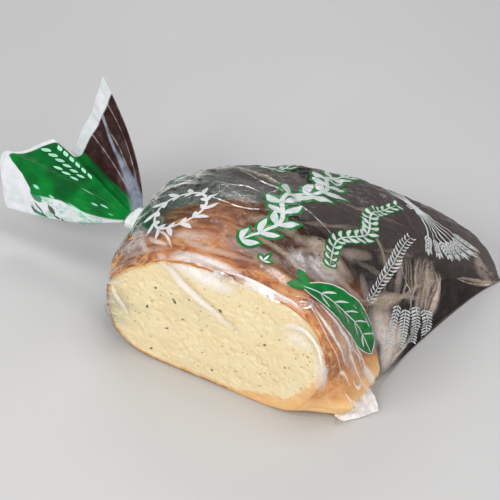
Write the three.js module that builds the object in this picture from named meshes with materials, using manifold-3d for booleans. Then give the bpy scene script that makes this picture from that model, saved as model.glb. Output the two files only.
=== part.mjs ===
// A round hearth loaf cut to a half, lying in a clear bread bag. Millimetres, +Z up.
// X runs along the bag from its tied neck at -X to its end seam at +X.
// The cut face of the loaf is upright, near y = 0, and looks to -Y.
import * as THREE from 'three';
import { mergeVertices } from 'three/addons/utils/BufferGeometryUtils.js';
import Module from 'manifold-3d';

const RIB_STEPS = 4;
const AROUND_STEPS = 8;
const NECK_CENTRE = [-134, 88, 55];
const NECK_HALF = [10.6, 3.4];
const NECK_STATIONS = [-146, -141, -129, -126];
const CLIP_WIDTH = 9;
const CLIP_GAP = 0.3;
const CLIP_WALL = 1.3;
const FILM_HALF = 0.8;
const TAIL_STEPS = 10;
const TAIL_RAYS = 36;

// Each rib goes once round the bag in twelve points: front foot, front low, front middle,
// front high, top edge of the face, crest front, crest, crest back, shoulder, back, back foot, bottom.
const RIBS = [
  [[-122, 66, 42], [-120, 54, 42], [-119, 46, 46], [-120, 48, 53], [-121, 57, 58], [-122, 72, 64],
    [-122, 90, 70], [-122, 106, 71], [-122, 118, 62], [-122, 120, 50], [-122, 110, 39], [-123, 88, 36]],
  [[-110, 34, 12], [-108, 18, 26], [-107, 12, 44], [-108, 16, 60], [-109, 32, 73], [-110, 60, 85],
    [-110, 90, 93], [-110, 116, 87], [-110, 136, 67], [-110, 140, 40], [-110, 122, 14], [-110, 88, 8]],
  [[-98, 10, 2], [-99, 0, 22], [-99, -2, 42], [-99, 0, 56], [-98, 10, 70], [-97, 44, 98],
    [-97, 88, 104], [-97, 124, 93], [-97, 151, 70], [-97, 158, 36], [-97, 136, 3], [-97, 88, 0]],
  [[-80, 3, 0], [-80, -2, 22], [-80, -3, 48], [-80, -2, 70], [-79, 6, 82], [-78, 44, 108],
    [-78, 90, 113], [-78, 134, 100], [-78, 169, 74], [-78, 178, 34], [-78, 152, 0], [-78, 88, 0]],
  [[-50, 3, 0], [-50, -2, 26], [-50, -3, 58], [-50, -2, 88], [-49, 6, 101], [-48, 44, 119],
    [-46, 92, 120], [-46, 140, 107], [-46, 187, 80], [-46, 201, 34], [-46, 170, 0], [-46, 90, 0]],
  [[0, 3, 0], [0, -2, 28], [0, -3, 64], [0, -2, 98], [0, 6, 112], [0, 44, 123],
    [0, 92, 122], [0, 144, 110], [0, 196, 84], [0, 215, 37], [0, 184, 0], [0, 92, 0]],
  [[44, 3, 0], [44, -2, 28], [44, -3, 62], [44, -2, 96], [44, 6, 110], [44, 44, 119],
    [44, 92, 117], [45, 146, 103], [46, 203, 79], [47, 227, 38], [46, 196, 0], [44, 94, 0]],
  [[72, 6, 0], [74, -1, 26], [75, -3, 56], [74, -1, 86], [73, 8, 101], [72, 44, 107],
    [72, 92, 102], [74, 150, 88], [77, 211, 68], [79, 239, 33], [76, 206, 0], [72, 94, 0]],
  [[86, 14, 0], [93, 4, 22], [97, 2, 48], [94, 4, 72], [91, 14, 85], [89, 46, 86],
    [88, 94, 80], [92, 152, 70], [98, 214, 53], [104, 245, 25], [98, 212, 0], [88, 96, 0]],
  [[96, 22, 0], [103, 14, 10], [108, 18, 22], [107, 24, 34], [104, 38, 42], [101, 62, 43],
    [101, 100, 40], [104, 154, 36], [111, 213, 28], [119, 244, 13], [112, 220, 0], [100, 98, 0]],
  [[99, 19, 0], [106, 17, 2], [118, 32, 5], [113, 49, 6], [107, 66, 6], [106, 90, 6],
    [106, 120, 6], [109, 158, 6], [117, 204, 5], [128, 240, 1.2], [117, 204, 0], [106, 120, 0]],
  [[101, 16, 0], [108, 18, 1.6], [121, 37, 3.4], [115, 52, 2.4], [110, 68, 1.6], [109, 92, 1.6],
    [109, 122, 1.6], [112, 160, 1.6], [120, 204, 1.6], [131, 241, 1.2], [120, 204, 0], [109, 122, 0]],
];

// The fan of the tail beyond the neck, from its lower fold to its upper tip. Each ray has its end
// on the mouth's rim and the sag of its middle, as steps from the neck.
const TAIL = [
  { rim: [-119, -8, -31], middle: [-62, -9, -22] },
  { rim: [-131, -14, -25], middle: [-62, -13, -15] },
  { rim: [-140, -4, -9], middle: [-66, -8, -4] },
  { rim: [-148, 6, 9], middle: [-68, 0, 5] },
  { rim: [-133, 14, 13], middle: [-64, 6, 10] },
  { rim: [-103, 24, 30], middle: [-52, 12, 17] },
  { rim: [-91, 31, 18], middle: [-46, 17, 11] },
  { rim: [-81, 38, 40], middle: [-38, 25, 19] },
  { rim: [-70, 44, 69], middle: [-31, 33, 28] },
  { rim: [-64, 48, 91], middle: [-22, 37, 35] },
];

const film = new THREE.MeshStandardMaterial({ color: 0xd9cdbd, roughness: 0.25, metalness: 0 });
const tape = new THREE.MeshStandardMaterial({ color: 0xe8eeee, roughness: 0.45, metalness: 0 });

function splineValue(a, b, c, d, t) {
  const linear = c - a;
  const square = 2 * a - 5 * b + 4 * c - d;
  const cube = 3 * b - a - 3 * c + d;
  return 0.5 * (2 * b + linear * t + square * t * t + cube * t * t * t);
}

// A smooth curve through points, read at a place counted in points from the first.
function splinePoint(points, place, closed) {
  const last = points.length - 1;
  const index = Math.min(Math.floor(place), closed ? last : last - 1);
  const t = place - index;
  const pick = (k) => {
    const at = index + k;
    return closed ? points[(at + points.length) % points.length] : points[Math.min(Math.max(at, 0), last)];
  };
  return [0, 1, 2].map((axis) => splineValue(pick(-1)[axis], pick(0)[axis], pick(1)[axis], pick(2)[axis], t));
}

// A flattened ring round the neck, begun on its near side and going over the top.
function neckPoint(turn, halfWidth, halfHeight, x) {
  const cosine = Math.cos(turn);
  const sine = Math.sin(turn);
  const round = 2 / 3;
  const y = NECK_CENTRE[1] - halfWidth * Math.sign(cosine) * Math.abs(cosine) ** round;
  const z = NECK_CENTRE[2] + halfHeight * Math.sign(sine) * Math.abs(sine) ** round;
  return [x, y, z];
}

function neckRib(x, extra) {
  const points = [];
  for (let k = 0; k < 12; k += 1) {
    const turn = (k - 2.5) * Math.PI / 6;
    points.push(neckPoint(turn, NECK_HALF[0] + extra, NECK_HALF[1] + extra, x));
  }
  return points;
}

function loopOf(rib) {
  const loop = [];
  for (let j = 0; j < 12 * AROUND_STEPS; j += 1) {
    loop.push(splinePoint(rib, j / AROUND_STEPS, true));
  }
  return loop;
}

// Triangles that close a loop, which is a simple outline when seen along X.
function outlineCap(loop) {
  const outline = loop.map(([, y, z]) => new THREE.Vector2(y, z));
  return THREE.ShapeUtils.triangulateShape(outline, []);
}

// Triangles that close a thin loop, made of one side and then the other side backwards.
function stripCap(loop) {
  const triangles = [];
  const last = loop.length - 1;
  for (let j = 0; j < loop.length / 2 - 1; j += 1) {
    triangles.push([j, j + 1, last - j], [j + 1, last - j - 1, last - j]);
  }
  return triangles;
}

// A closed body through loops of equal count, with a cap at each end.
function loft(loops, cap) {
  const count = loops[0].length;
  const indices = [];
  for (let i = 0; i < loops.length - 1; i += 1) {
    for (let j = 0; j < count; j += 1) {
      const a = i * count + j;
      const b = i * count + (j + 1) % count;
      indices.push(a, b, a + count, b, b + count, a + count);
    }
  }
  const end = (loops.length - 1) * count;
  for (const triangle of cap(loops[0])) {
    const [a, b, c] = triangle.sort((p, q) => p - q);
    indices.push(a, c, b);
  }
  for (const triangle of cap(loops[loops.length - 1])) {
    const [a, b, c] = triangle.sort((p, q) => p - q);
    indices.push(end + a, end + b, end + c);
  }
  const geometry = new THREE.BufferGeometry();
  geometry.setAttribute('position', new THREE.Float32BufferAttribute(loops.flat(2), 3));
  geometry.setIndex(indices);
  return geometry;
}

// Pleats run out from the neck and fade as the film opens over the loaf.
function pleatDepth(along, around) {
  const fade = Math.max(0, 1 - along / 3.6) * Math.min(1, along * 1.4);
  return 3 * fade * Math.sin(around * Math.PI * 2 * 1.5 + Math.sin(around * 2.1));
}

function bodyGeometry() {
  const nets = [...NECK_STATIONS.map((x) => neckRib(x, 0)), ...RIBS];
  const loops = [];
  const straight = NECK_STATIONS.length - 1;
  const lastRib = nets.length - 1;
  const places = [1];
  for (let k = straight * RIB_STEPS; k <= lastRib * RIB_STEPS; k += 1) {
    places.push(k / RIB_STEPS);
  }
  for (const place of places) {
    loops.push(loopOf(nets[0].map((_, k) => splinePoint(nets.map((net) => net[k]), place, false))));
  }
  const pleated = loops.map((loop, row) => {
    const along = places[row] - straight;
    if (along <= 0) {
      return loop;
    }
    const centre = [NECK_CENTRE[1], NECK_CENTRE[2]];
    return loop.map(([x, y, z], j) => {
      const depth = pleatDepth(along, j / AROUND_STEPS);
      const reach = Math.hypot(y - centre[0], z - centre[1]);
      const scale = 1 + Math.max(-0.12, Math.min(0.12, depth / reach));
      return [x, centre[0] + (y - centre[0]) * scale, Math.max(0, centre[1] + (z - centre[1]) * scale)];
    });
  });
  return loft(pleated.map((loop) => loop.map(([x, y, z]) => [x, y, Math.max(0, z)])), outlineCap);
}

function tailMiddle(ray, reach) {
  const place = ray * (TAIL.length - 1);
  const rim = splinePoint(TAIL.map((r) => r.rim), place, false);
  const sag = splinePoint(TAIL.map((r) => r.middle), place, false);
  const start = [-6, (ray * 2 - 1) * (NECK_HALF[0] - 2.5), 0];
  const point = [0, 1, 2].map((axis) => {
    const near = start[axis] * (1 - reach) ** 2;
    const bend = (2 * sag[axis] - (start[axis] + rim[axis]) / 2) * 2 * reach * (1 - reach);
    return NECK_CENTRE[axis] + near + bend + rim[axis] * reach ** 2;
  });
  const fold = 2.6 * Math.sin(ray * Math.PI * 2 * 5.5) * Math.sin(Math.min(1, reach * 1.3) * Math.PI / 2);
  const shift = reach * (1 - reach * 0.4) * fold;
  return [point[0], point[1] - shift * 0.55, point[2] + shift * 0.8];
}

function tailNormal(ray, reach) {
  const step = 0.02;
  const vector = (p) => new THREE.Vector3(...p);
  const across = vector(tailMiddle(Math.min(1, ray + step), reach)).sub(vector(tailMiddle(Math.max(0, ray - step), reach)));
  const outward = vector(tailMiddle(ray, Math.min(1, reach + step))).sub(vector(tailMiddle(ray, Math.max(0, reach - step))));
  const upright = new THREE.Vector3(0, 0, 1);
  return upright.lerp(across.cross(outward).normalize(), Math.min(1, reach / 0.3)).normalize();
}

function tailGeometry() {
  const loops = [];
  for (let k = 0; k <= TAIL_STEPS; k += 1) {
    const reach = k / TAIL_STEPS;
    const gathered = Math.max(0, 1 - reach / 0.35);
    const half = FILM_HALF + (NECK_HALF[1] - 0.6 - FILM_HALF) * gathered ** 1.5;
    const upper = [];
    const lower = [];
    for (let j = 0; j <= TAIL_RAYS; j += 1) {
      const ray = j / TAIL_RAYS;
      const middle = new THREE.Vector3(...tailMiddle(ray, reach));
      const normal = tailNormal(ray, reach).multiplyScalar(half);
      upper.push(middle.clone().add(normal).toArray());
      lower.push(middle.clone().sub(normal).toArray());
    }
    loops.push([...upper, ...lower.reverse()]);
  }
  return loft(loops, stripCap);
}

function clipGeometry() {
  const rings = [];
  const ends = [NECK_CENTRE[0] - CLIP_WIDTH / 2, NECK_CENTRE[0] + CLIP_WIDTH / 2];
  const sizes = [CLIP_GAP, CLIP_GAP + CLIP_WALL];
  for (const [size, x] of [[sizes[0], ends[0]], [sizes[1], ends[0]], [sizes[1], ends[1]], [sizes[0], ends[1]]]) {
    rings.push(loopOf(neckRib(x, size)));
  }
  const count = rings[0].length;
  const positions = rings.flat(2);
  const indices = [];
  for (let i = 0; i < 4; i += 1) {
    for (let j = 0; j < count; j += 1) {
      const next = (j + 1) % count;
      const a = i * count + j;
      const b = i * count + next;
      const c = ((i + 1) % 4) * count + j;
      const d = ((i + 1) % 4) * count + next;
      indices.push(a, b, c, b, d, c);
    }
  }
  const geometry = new THREE.BufferGeometry();
  geometry.setAttribute('position', new THREE.Float32BufferAttribute(positions, 3));
  geometry.setIndex(indices);
  return geometry;
}

function signedVolume(geometry) {
  const position = geometry.attributes.position;
  const index = geometry.index.array;
  const [a, b, c] = [new THREE.Vector3(), new THREE.Vector3(), new THREE.Vector3()];
  let volume = 0;
  for (let k = 0; k < index.length; k += 3) {
    a.fromBufferAttribute(position, index[k]);
    b.fromBufferAttribute(position, index[k + 1]);
    c.fromBufferAttribute(position, index[k + 2]);
    volume += a.dot(b.cross(c)) / 6;
  }
  return volume;
}

function facingOut(geometry) {
  if (signedVolume(geometry) < 0) {
    const index = geometry.index.array;
    for (let k = 0; k < index.length; k += 3) {
      [index[k + 1], index[k + 2]] = [index[k + 2], index[k + 1]];
    }
  }
  return geometry;
}

const wasm = await Module();
wasm.setup();

function solidOf(geometry) {
  const merged = mergeVertices(facingOut(geometry), 1e-4);
  return new wasm.Manifold(new wasm.Mesh({
    numProp: 3,
    vertProperties: new Float32Array(merged.attributes.position.array),
    triVerts: new Uint32Array(merged.index.array),
  }));
}

function geometryOf(solid) {
  const mesh = solid.getMesh();
  const geometry = new THREE.BufferGeometry();
  geometry.setAttribute('position', new THREE.BufferAttribute(new Float32Array(mesh.vertProperties), 3));
  geometry.setIndex(new THREE.BufferAttribute(new Uint32Array(mesh.triVerts), 1));
  return geometry;
}

function namedMesh(name, geometry, material) {
  geometry.computeVertexNormals();
  const mesh = new THREE.Mesh(geometry, material);
  mesh.name = name;
  return mesh;
}

const bag = geometryOf(solidOf(bodyGeometry()).add(solidOf(tailGeometry())));
const clip = facingOut(clipGeometry());

// The origin is the middle of the whole pack's footprint, on the floor.
bag.computeBoundingBox();
const middle = bag.boundingBox.getCenter(new THREE.Vector3());
for (const geometry of [bag, clip]) {
  geometry.translate(-middle.x, -middle.y, -bag.boundingBox.min.z);
}

const group = new THREE.Group();
group.name = 'loaf_in_bread_bag';
group.add(namedMesh('bag', bag, film));
group.add(namedMesh('neck_clip', clip, tape));

export default group;
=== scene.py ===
"""The look of a cut hearth loaf lying in a clear printed bread bag."""
import functools
import itertools
import math

import bpy
import numpy as np
from bpy.props import FloatProperty, FloatVectorProperty, IntProperty, PointerProperty
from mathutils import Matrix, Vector
from mathutils.bvhtree import BVHTree
from mathutils.kdtree import KDTree


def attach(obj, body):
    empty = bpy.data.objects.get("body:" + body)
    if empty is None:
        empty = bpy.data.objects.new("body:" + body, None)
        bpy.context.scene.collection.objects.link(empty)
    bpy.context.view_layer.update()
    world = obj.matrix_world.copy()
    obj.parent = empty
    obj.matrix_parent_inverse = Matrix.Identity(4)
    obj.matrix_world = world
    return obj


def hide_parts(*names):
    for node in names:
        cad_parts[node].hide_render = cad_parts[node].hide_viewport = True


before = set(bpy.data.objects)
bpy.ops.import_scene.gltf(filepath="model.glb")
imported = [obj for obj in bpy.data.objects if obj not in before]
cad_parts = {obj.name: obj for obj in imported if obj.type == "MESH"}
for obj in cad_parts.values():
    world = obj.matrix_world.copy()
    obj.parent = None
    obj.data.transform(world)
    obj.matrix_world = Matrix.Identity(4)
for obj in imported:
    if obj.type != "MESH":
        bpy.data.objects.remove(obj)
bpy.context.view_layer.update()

bl_info = {
    "name": "Loaf in bread bag",
    "version": (1, 0, 0),
    "blender": (4, 5, 0),
    "location": "3D View > Sidebar > Bread bag",
    "description": "Makes a cut hearth loaf in a clear printed bag, with its clip, stage and lights",
    "category": "Object",
}

# Points in this file are millimetres from the middle of the loaf's cut face on the floor.
# X runs along the bag away from its neck, Y goes back into the loaf and Z is up.
BAG_TO_FRAME = np.array([75.522, -119.904, 0.0])
MM = 0.001

# The smooth net of the bag

NECK_CENTRE = np.array([-134.0, 88.0, 55.0])
NECK_HALF = (10.6, 3.4)
NECK_STATIONS = (-146, -141, -129, -126)
NECK_ROUND = 2 / 3
NECK_PLACE = 3
LOAF_PLACE = 9

# Each rib goes once round the bag: front foot, front low, front middle, front high, top edge
# of the face, crest front, crest, crest back, shoulder, back, back foot, bottom.
RIBS = [
    [[-122, 66, 42], [-120, 54, 42], [-119, 46, 46], [-120, 48, 53], [-121, 57, 58], [-122, 72, 64],
     [-122, 90, 70], [-122, 106, 71], [-122, 118, 62], [-122, 120, 50], [-122, 110, 39], [-123, 88, 36]],
    [[-110, 34, 12], [-108, 18, 26], [-107, 12, 44], [-108, 16, 60], [-109, 32, 73], [-110, 60, 85],
     [-110, 90, 93], [-110, 116, 87], [-110, 136, 67], [-110, 140, 40], [-110, 122, 14], [-110, 88, 8]],
    [[-98, 10, 2], [-99, 0, 22], [-99, -2, 42], [-99, 0, 56], [-98, 10, 70], [-97, 44, 98],
     [-97, 88, 104], [-97, 124, 93], [-97, 151, 70], [-97, 158, 36], [-97, 136, 3], [-97, 88, 0]],
    [[-80, 3, 0], [-80, -2, 22], [-80, -3, 48], [-80, -2, 70], [-79, 6, 82], [-78, 44, 108],
     [-78, 90, 113], [-78, 134, 100], [-78, 169, 74], [-78, 178, 34], [-78, 152, 0], [-78, 88, 0]],
    [[-50, 3, 0], [-50, -2, 26], [-50, -3, 58], [-50, -2, 88], [-49, 6, 101], [-48, 44, 119],
     [-46, 92, 120], [-46, 140, 107], [-46, 187, 80], [-46, 201, 34], [-46, 170, 0], [-46, 90, 0]],
    [[0, 3, 0], [0, -2, 28], [0, -3, 64], [0, -2, 98], [0, 6, 112], [0, 44, 123],
     [0, 92, 122], [0, 144, 110], [0, 196, 84], [0, 215, 37], [0, 184, 0], [0, 92, 0]],
    [[44, 3, 0], [44, -2, 28], [44, -3, 62], [44, -2, 96], [44, 6, 110], [44, 44, 119],
     [44, 92, 117], [45, 146, 103], [46, 203, 79], [47, 227, 38], [46, 196, 0], [44, 94, 0]],
    [[72, 6, 0], [74, -1, 26], [75, -3, 56], [74, -1, 86], [73, 8, 101], [72, 44, 107],
     [72, 92, 102], [74, 150, 88], [77, 211, 68], [79, 239, 33], [76, 206, 0], [72, 94, 0]],
    [[86, 14, 0], [93, 4, 22], [97, 2, 48], [94, 4, 72], [91, 14, 85], [89, 46, 86],
     [88, 94, 80], [92, 152, 70], [98, 214, 53], [104, 245, 25], [98, 212, 0], [88, 96, 0]],
    [[96, 22, 0], [103, 14, 10], [108, 18, 22], [107, 24, 34], [104, 38, 42], [101, 62, 43],
     [101, 100, 40], [104, 154, 36], [111, 213, 28], [119, 244, 13], [112, 220, 0], [100, 98, 0]],
    [[99, 19, 0], [106, 17, 2], [118, 32, 5], [113, 49, 6], [107, 66, 6], [106, 90, 6],
     [106, 120, 6], [109, 158, 6], [117, 204, 5], [128, 240, 1.2], [117, 204, 0], [106, 120, 0]],
    [[101, 16, 0], [108, 18, 1.6], [121, 37, 3.4], [115, 52, 2.4], [110, 68, 1.6], [109, 92, 1.6],
     [109, 122, 1.6], [112, 160, 1.6], [120, 204, 1.6], [131, 241, 1.2], [120, 204, 0], [109, 122, 0]],
]

# The tail fans out beyond the neck. Each ray has its end on the mouth's rim and its sagging middle.
TAIL_RIMS = [(-119, -8, -31), (-131, -14, -25), (-140, -4, -9), (-148, 6, 9), (-133, 14, 13),
             (-103, 24, 30), (-91, 31, 18), (-81, 38, 40), (-70, 44, 69), (-64, 48, 91)]
TAIL_MIDDLES = [(-62, -9, -22), (-62, -13, -15), (-66, -8, -4), (-68, 0, 5), (-64, 6, 10),
                (-52, 12, 17), (-46, 17, 11), (-38, 25, 19), (-31, 33, 28), (-22, 37, 35)]

# The outline of the cut face, from its left side over the top, as X and Z.
FACE_OUTLINE = [(-101, 50), (-97, 63), (-83, 78), (-65, 91), (-46, 101), (-22, 107.5), (2, 109.5), (32, 110),
                (64, 104), (86, 92), (95, 72), (96, 52), (87, 28), (72, 7), (48, 0), (0, 0), (-46, 0),
                (-76, 2.5), (-93, 14), (-100.5, 32)]
FACE_CENTRE = np.array([-2.0, 54.0])
BAKED_EDGE = ([0, 20, 36, 49, 63, 75, 84, 95, 100], [-4, 3, 8, 10.5, 13, 25, 36, 56, 70])

# The loaf's height off the floor, the shift of its widest slice towards the neck, and the height
# at which it is widest.
LOAF_LIFT = 1.2
LOAF_SHIFT = -5.0
WIDEST_HEIGHT = 48.0

# How far back the loaf is widest, the radius of its plan, and how square its sides, top and foot are.
LOAF_MIDDLE = 43.0
LOAF_RADIUS = 107.5
SIDE_POWER = 2.05
TOP_POWER = 2.25
FOOT_POWER = 5

# The foot bulges out behind the face, and the shoulder by the neck up and to its side. The far
# shoulder, in X, Y and Z, is drawn in.
FOOT_BULGE = 32.0
SHOULDER = np.array([-84.0, 77.0])
SHOULDER_REACH = np.array([30.0, 24.0])
SHOULDER_OUT = 4.5
SHOULDER_UP = 4
FAR_SHOULDER = np.array([52.0, 90.0, 96.0])
FAR_REACH = np.array([60.0, 62.0, 42.0])
FAR_DRAWN = np.array([-14.4, -29.6, -22.4])

# Pores of the crumb: size, depth, where the noise starts to sink in, and seed.
PORES = ((5.5, 1.5, 0.42, 11), (2.9, 1.1, 0.38, 12), (1.7, 0.7, 0.25, 13))

# Least heights of the crust and of the film, and the film's mesh steps along and round it.
LOWEST_CRUST = 0.9
LOWEST_FILM = 0.35
FILM_STEPS = (250, 400)


def placed(points):
    """Millimetres of this file as metres of the frame."""
    return (np.asarray(points, float) + BAG_TO_FRAME) * MM


def spline_value(a, b, c, d, t):
    """A smooth curve through b and c, with a before and d after them."""
    linear = c - a
    square = 2 * a - 5 * b + 4 * c - d
    cube = 3 * b - a - 3 * c + d
    return 0.5 * (2 * b + linear * t + square * t * t + cube * t ** 3)


def spline(points, places, closed=False):
    """Smooth values through points on their first axis, read at places counted in points."""
    points = np.asarray(points, float)
    places = np.asarray(places, float)
    count = len(points)
    first = np.floor(places).astype(int)
    if not closed:
        first = np.minimum(first, count - 2)
    t = (places - first).reshape((-1,) + (1,) * (points.ndim - 1))
    near = [first + k for k in (-1, 0, 1, 2)]
    near = [k % count if closed else np.clip(k, 0, count - 1) for k in near]
    return spline_value(*[points[k] for k in near], t)


def even_line(points, count, closed=False):
    """Points at equal steps of length on the smooth curve through points."""
    span = len(points) if closed else len(points) - 1
    fine = spline(points, np.linspace(0, span, 40 * span + 1) % (len(points) if closed else 1e9), closed)
    if closed:
        fine[-1] = fine[0]
    length = np.concatenate([[0], np.cumsum(np.linalg.norm(np.diff(fine, axis=0), axis=1))])
    steps = np.linspace(0, length[-1], count + 1)[:-1] if closed else np.linspace(0, length[-1], count)
    return np.stack([np.interp(steps, length, fine[:, k]) for k in range(fine.shape[1])], 1)


def smooth_step(low, high, values):
    """Nought at low and one at high, smoothly between."""
    t = np.clip((values - low) / (high - low), 0, 1)
    return t * t * (3 - 2 * t)


def clouds(points, size, seed):
    """Smooth noise from -1 to 1, whose lumps are about size across."""
    side = 24
    lattice = np.random.default_rng(seed).uniform(-1, 1, (side, side, side))
    scaled = np.asarray(points, float) / size
    cell = np.floor(scaled).astype(int)
    t = scaled - cell
    t = t * t * (3 - 2 * t)
    total = np.zeros(scaled.shape[:-1])
    for corner in itertools.product((0, 1), repeat=3):
        weight = np.prod(np.where(np.array(corner) == 1, t, 1 - t), axis=-1)
        at = (cell + corner) % side
        total += weight * lattice[at[..., 0], at[..., 1], at[..., 2]]
    return total


def ridges(points, size, seed):
    """Noise with sharp crests, as in crumpled film, from -1 to 1."""
    return 1 - 4 * np.abs(clouds(points, size, seed))


def unit(vectors):
    """Vectors of length one in the same directions."""
    return vectors / np.maximum(np.linalg.norm(vectors, axis=-1, keepdims=True), 1e-9)


def rough_length(line):
    """Length of a line of points, straight from each to the next."""
    return np.linalg.norm(np.diff(np.asarray(line, float), axis=0), axis=1).sum()


def headings_and_sides(line):
    """Unit steps along a flat line of points, and to its left."""
    heading = unit(np.gradient(line, axis=0))
    return heading, np.stack([-heading[:, 1], heading[:, 0]], 1)


def forward_and_side(degrees):
    """Unit steps in a flat direction and to its left."""
    turn = math.radians(degrees)
    forward = np.array([math.cos(turn), math.sin(turn)])
    return forward, np.array([-forward[1], forward[0]])


def along_and_across(x, y, degrees):
    """Lengths along a flat direction and to its left."""
    c, s = math.cos(math.radians(degrees)), math.sin(math.radians(degrees))
    return x * c + y * s, y * c - x * s


def grid_normals(grid, closed):
    """Unit normals of a grid of points, whose second axis may be closed."""
    along = np.gradient(grid, axis=0)
    if closed:
        around = np.roll(grid, -1, axis=1) - np.roll(grid, 1, axis=1)
    else:
        around = np.gradient(grid, axis=1)
    return unit(np.cross(along, around))


def grid_faces(rows, columns, closed=False):
    """Quads of a grid of vertices in row order."""
    i, j = np.meshgrid(np.arange(rows - 1), np.arange(columns if closed else columns - 1), indexing="ij")
    after = (j + 1) % columns
    quads = [i * columns + j, i * columns + after, (i + 1) * columns + after, (i + 1) * columns + j]
    return np.stack([q.ravel() for q in quads], 1)


def piece_of(name, points, faces, materials, face_materials=None):
    """A smooth mesh piece of the part, which rides with the body of the pack."""
    mesh = bpy.data.meshes.new(name)
    mesh.from_pydata(placed(points).tolist(), [], [list(map(int, face)) for face in faces])
    for material in materials:
        mesh.materials.append(material)
    if face_materials is not None:
        mesh.polygons.foreach_set("material_index", np.asarray(face_materials, np.int32))
    mesh.polygons.foreach_set("use_smooth", np.ones(len(mesh.polygons), bool))
    mesh.validate()
    mesh.update()
    piece = bpy.data.objects.new(name, mesh)
    bpy.context.scene.collection.objects.link(piece)
    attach(piece, "root")
    return piece


def store(piece, name, values):
    """Keeps one number for each vertex, for the material to read."""
    layer = piece.data.attributes.new(name, "FLOAT", "POINT")
    layer.data.foreach_set("value", np.asarray(values, np.float32).ravel())


def store_places(piece, name, places):
    """Keeps one place for each vertex, for the material's noise to read."""
    layer = piece.data.attributes.new(name, "FLOAT_VECTOR", "POINT")
    layer.data.foreach_set("vector", np.asarray(places, np.float32).ravel())


# The loaf

def face_line(count):
    """The outline of the cut face, a little uneven, as X and Z."""
    loop = even_line(FACE_OUTLINE, count, closed=True)
    out = unit(loop - FACE_CENTRE)
    flat = np.insert(loop, 1, 0, axis=1)
    uneven = 0.8 * clouds(flat, 17, 5) + 0.35 * clouds(flat, 5, 6)
    uneven *= smooth_step(2, 12, loop[:, 1])
    return loop + out * uneven[:, None]


def loaf_width(turn, power):
    """How wide a slice is against the face, for a slice at an angle seen from the loaf's middle."""
    first = math.asin(LOAF_MIDDLE / LOAF_RADIUS)
    share = np.clip(np.abs(np.sin(turn)), 0, 1)
    full = (1 - share ** power) ** (1 / power)
    return full / (1 - math.sin(first) ** power) ** (1 / power)


@functools.lru_cache(maxsize=None)
def loaf_rows(columns, rows):
    """Slices of the loaf from the cut face to its back, as a grid of points."""
    loop = face_line(columns)
    x, z = loop[:, 0], loop[:, 1]
    first = -math.asin(LOAF_MIDDLE / LOAF_RADIUS)
    grid = np.zeros((rows, columns, 3))
    for row, turn in enumerate(np.linspace(first, math.pi / 2 - 0.02, rows)):
        back = LOAF_MIDDLE + LOAF_RADIUS * math.sin(turn)
        shift = LOAF_SHIFT * smooth_step(0, LOAF_MIDDLE, back)
        wide = loaf_width(turn, SIDE_POWER)
        low = math.sqrt(1 - max(0.0, math.sin(turn)) ** FOOT_POWER)
        tall = np.where(z > WIDEST_HEIGHT, loaf_width(turn, TOP_POWER), low)
        bulge = FOOT_BULGE * smooth_step(-2, 18, back) * smooth_step(46, 10, z) * smooth_step(120, 60, back)
        bulge = bulge * smooth_step(20, 76, np.abs(x)) * np.where(x > 0, 1.0, -0.5)
        near = ((loop - SHOULDER) / SHOULDER_REACH) ** 2
        shoulder = np.exp(-near.sum(1)) * smooth_step(2, 24, back) * smooth_step(112, 72, back)
        middle = FACE_CENTRE[0] + shift
        grid[row, :, 0] = middle + (x - FACE_CENTRE[0]) * wide + bulge - SHOULDER_OUT * shoulder
        grid[row, :, 1] = back
        grid[row, :, 2] = LOAF_LIFT + WIDEST_HEIGHT + (z - WIDEST_HEIGHT) * tall + SHOULDER_UP * shoulder
    far = (((grid - FAR_SHOULDER) / FAR_REACH) ** 2).sum(-1)
    drawn = np.exp(-far) * smooth_step(6, 60, grid[..., 1])
    grid = grid + drawn[..., None] * FAR_DRAWN
    grid[..., 1] = np.maximum(grid[..., 1], 0)
    return grid


def loaf_tree():
    """A search tree of the bare loaf, with its outward side known."""
    grid = loaf_rows(180, 46)
    columns = grid.shape[1]
    points = [tuple(p) for p in grid.reshape(-1, 3)]
    points += [(FACE_CENTRE[0], 0, FACE_CENTRE[1]), tuple(grid[-1].mean(0))]
    faces = grid_faces(len(grid), columns, closed=True).tolist()
    front, back, last = len(points) - 2, len(points) - 1, (len(grid) - 1) * columns
    for j in range(columns):
        after = (j + 1) % columns
        faces.append([front, after, j])
        faces.append([back, last + j, last + after])
    return BVHTree.FromPolygons(points, faces)


def ring_index(i, j):
    """The place of a square grid's point in rings counted outward from its centre."""
    ring = np.maximum(np.abs(i), np.abs(j))
    place = np.where(i == ring, j + ring, 0)
    place = np.where((j == ring) & (i < ring), 3 * ring - i, place)
    place = np.where((i == -ring) & (j < ring), 5 * ring - j, place)
    place = np.where((j == -ring) & (i > -ring) & (i < ring), 7 * ring + i, place)
    place = np.where(ring > 0, place % np.maximum(8 * ring, 1), 0)
    first = np.where(ring > 0, 1 + 4 * ring * (ring - 1), 0)
    return first + place, ring, place


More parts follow.
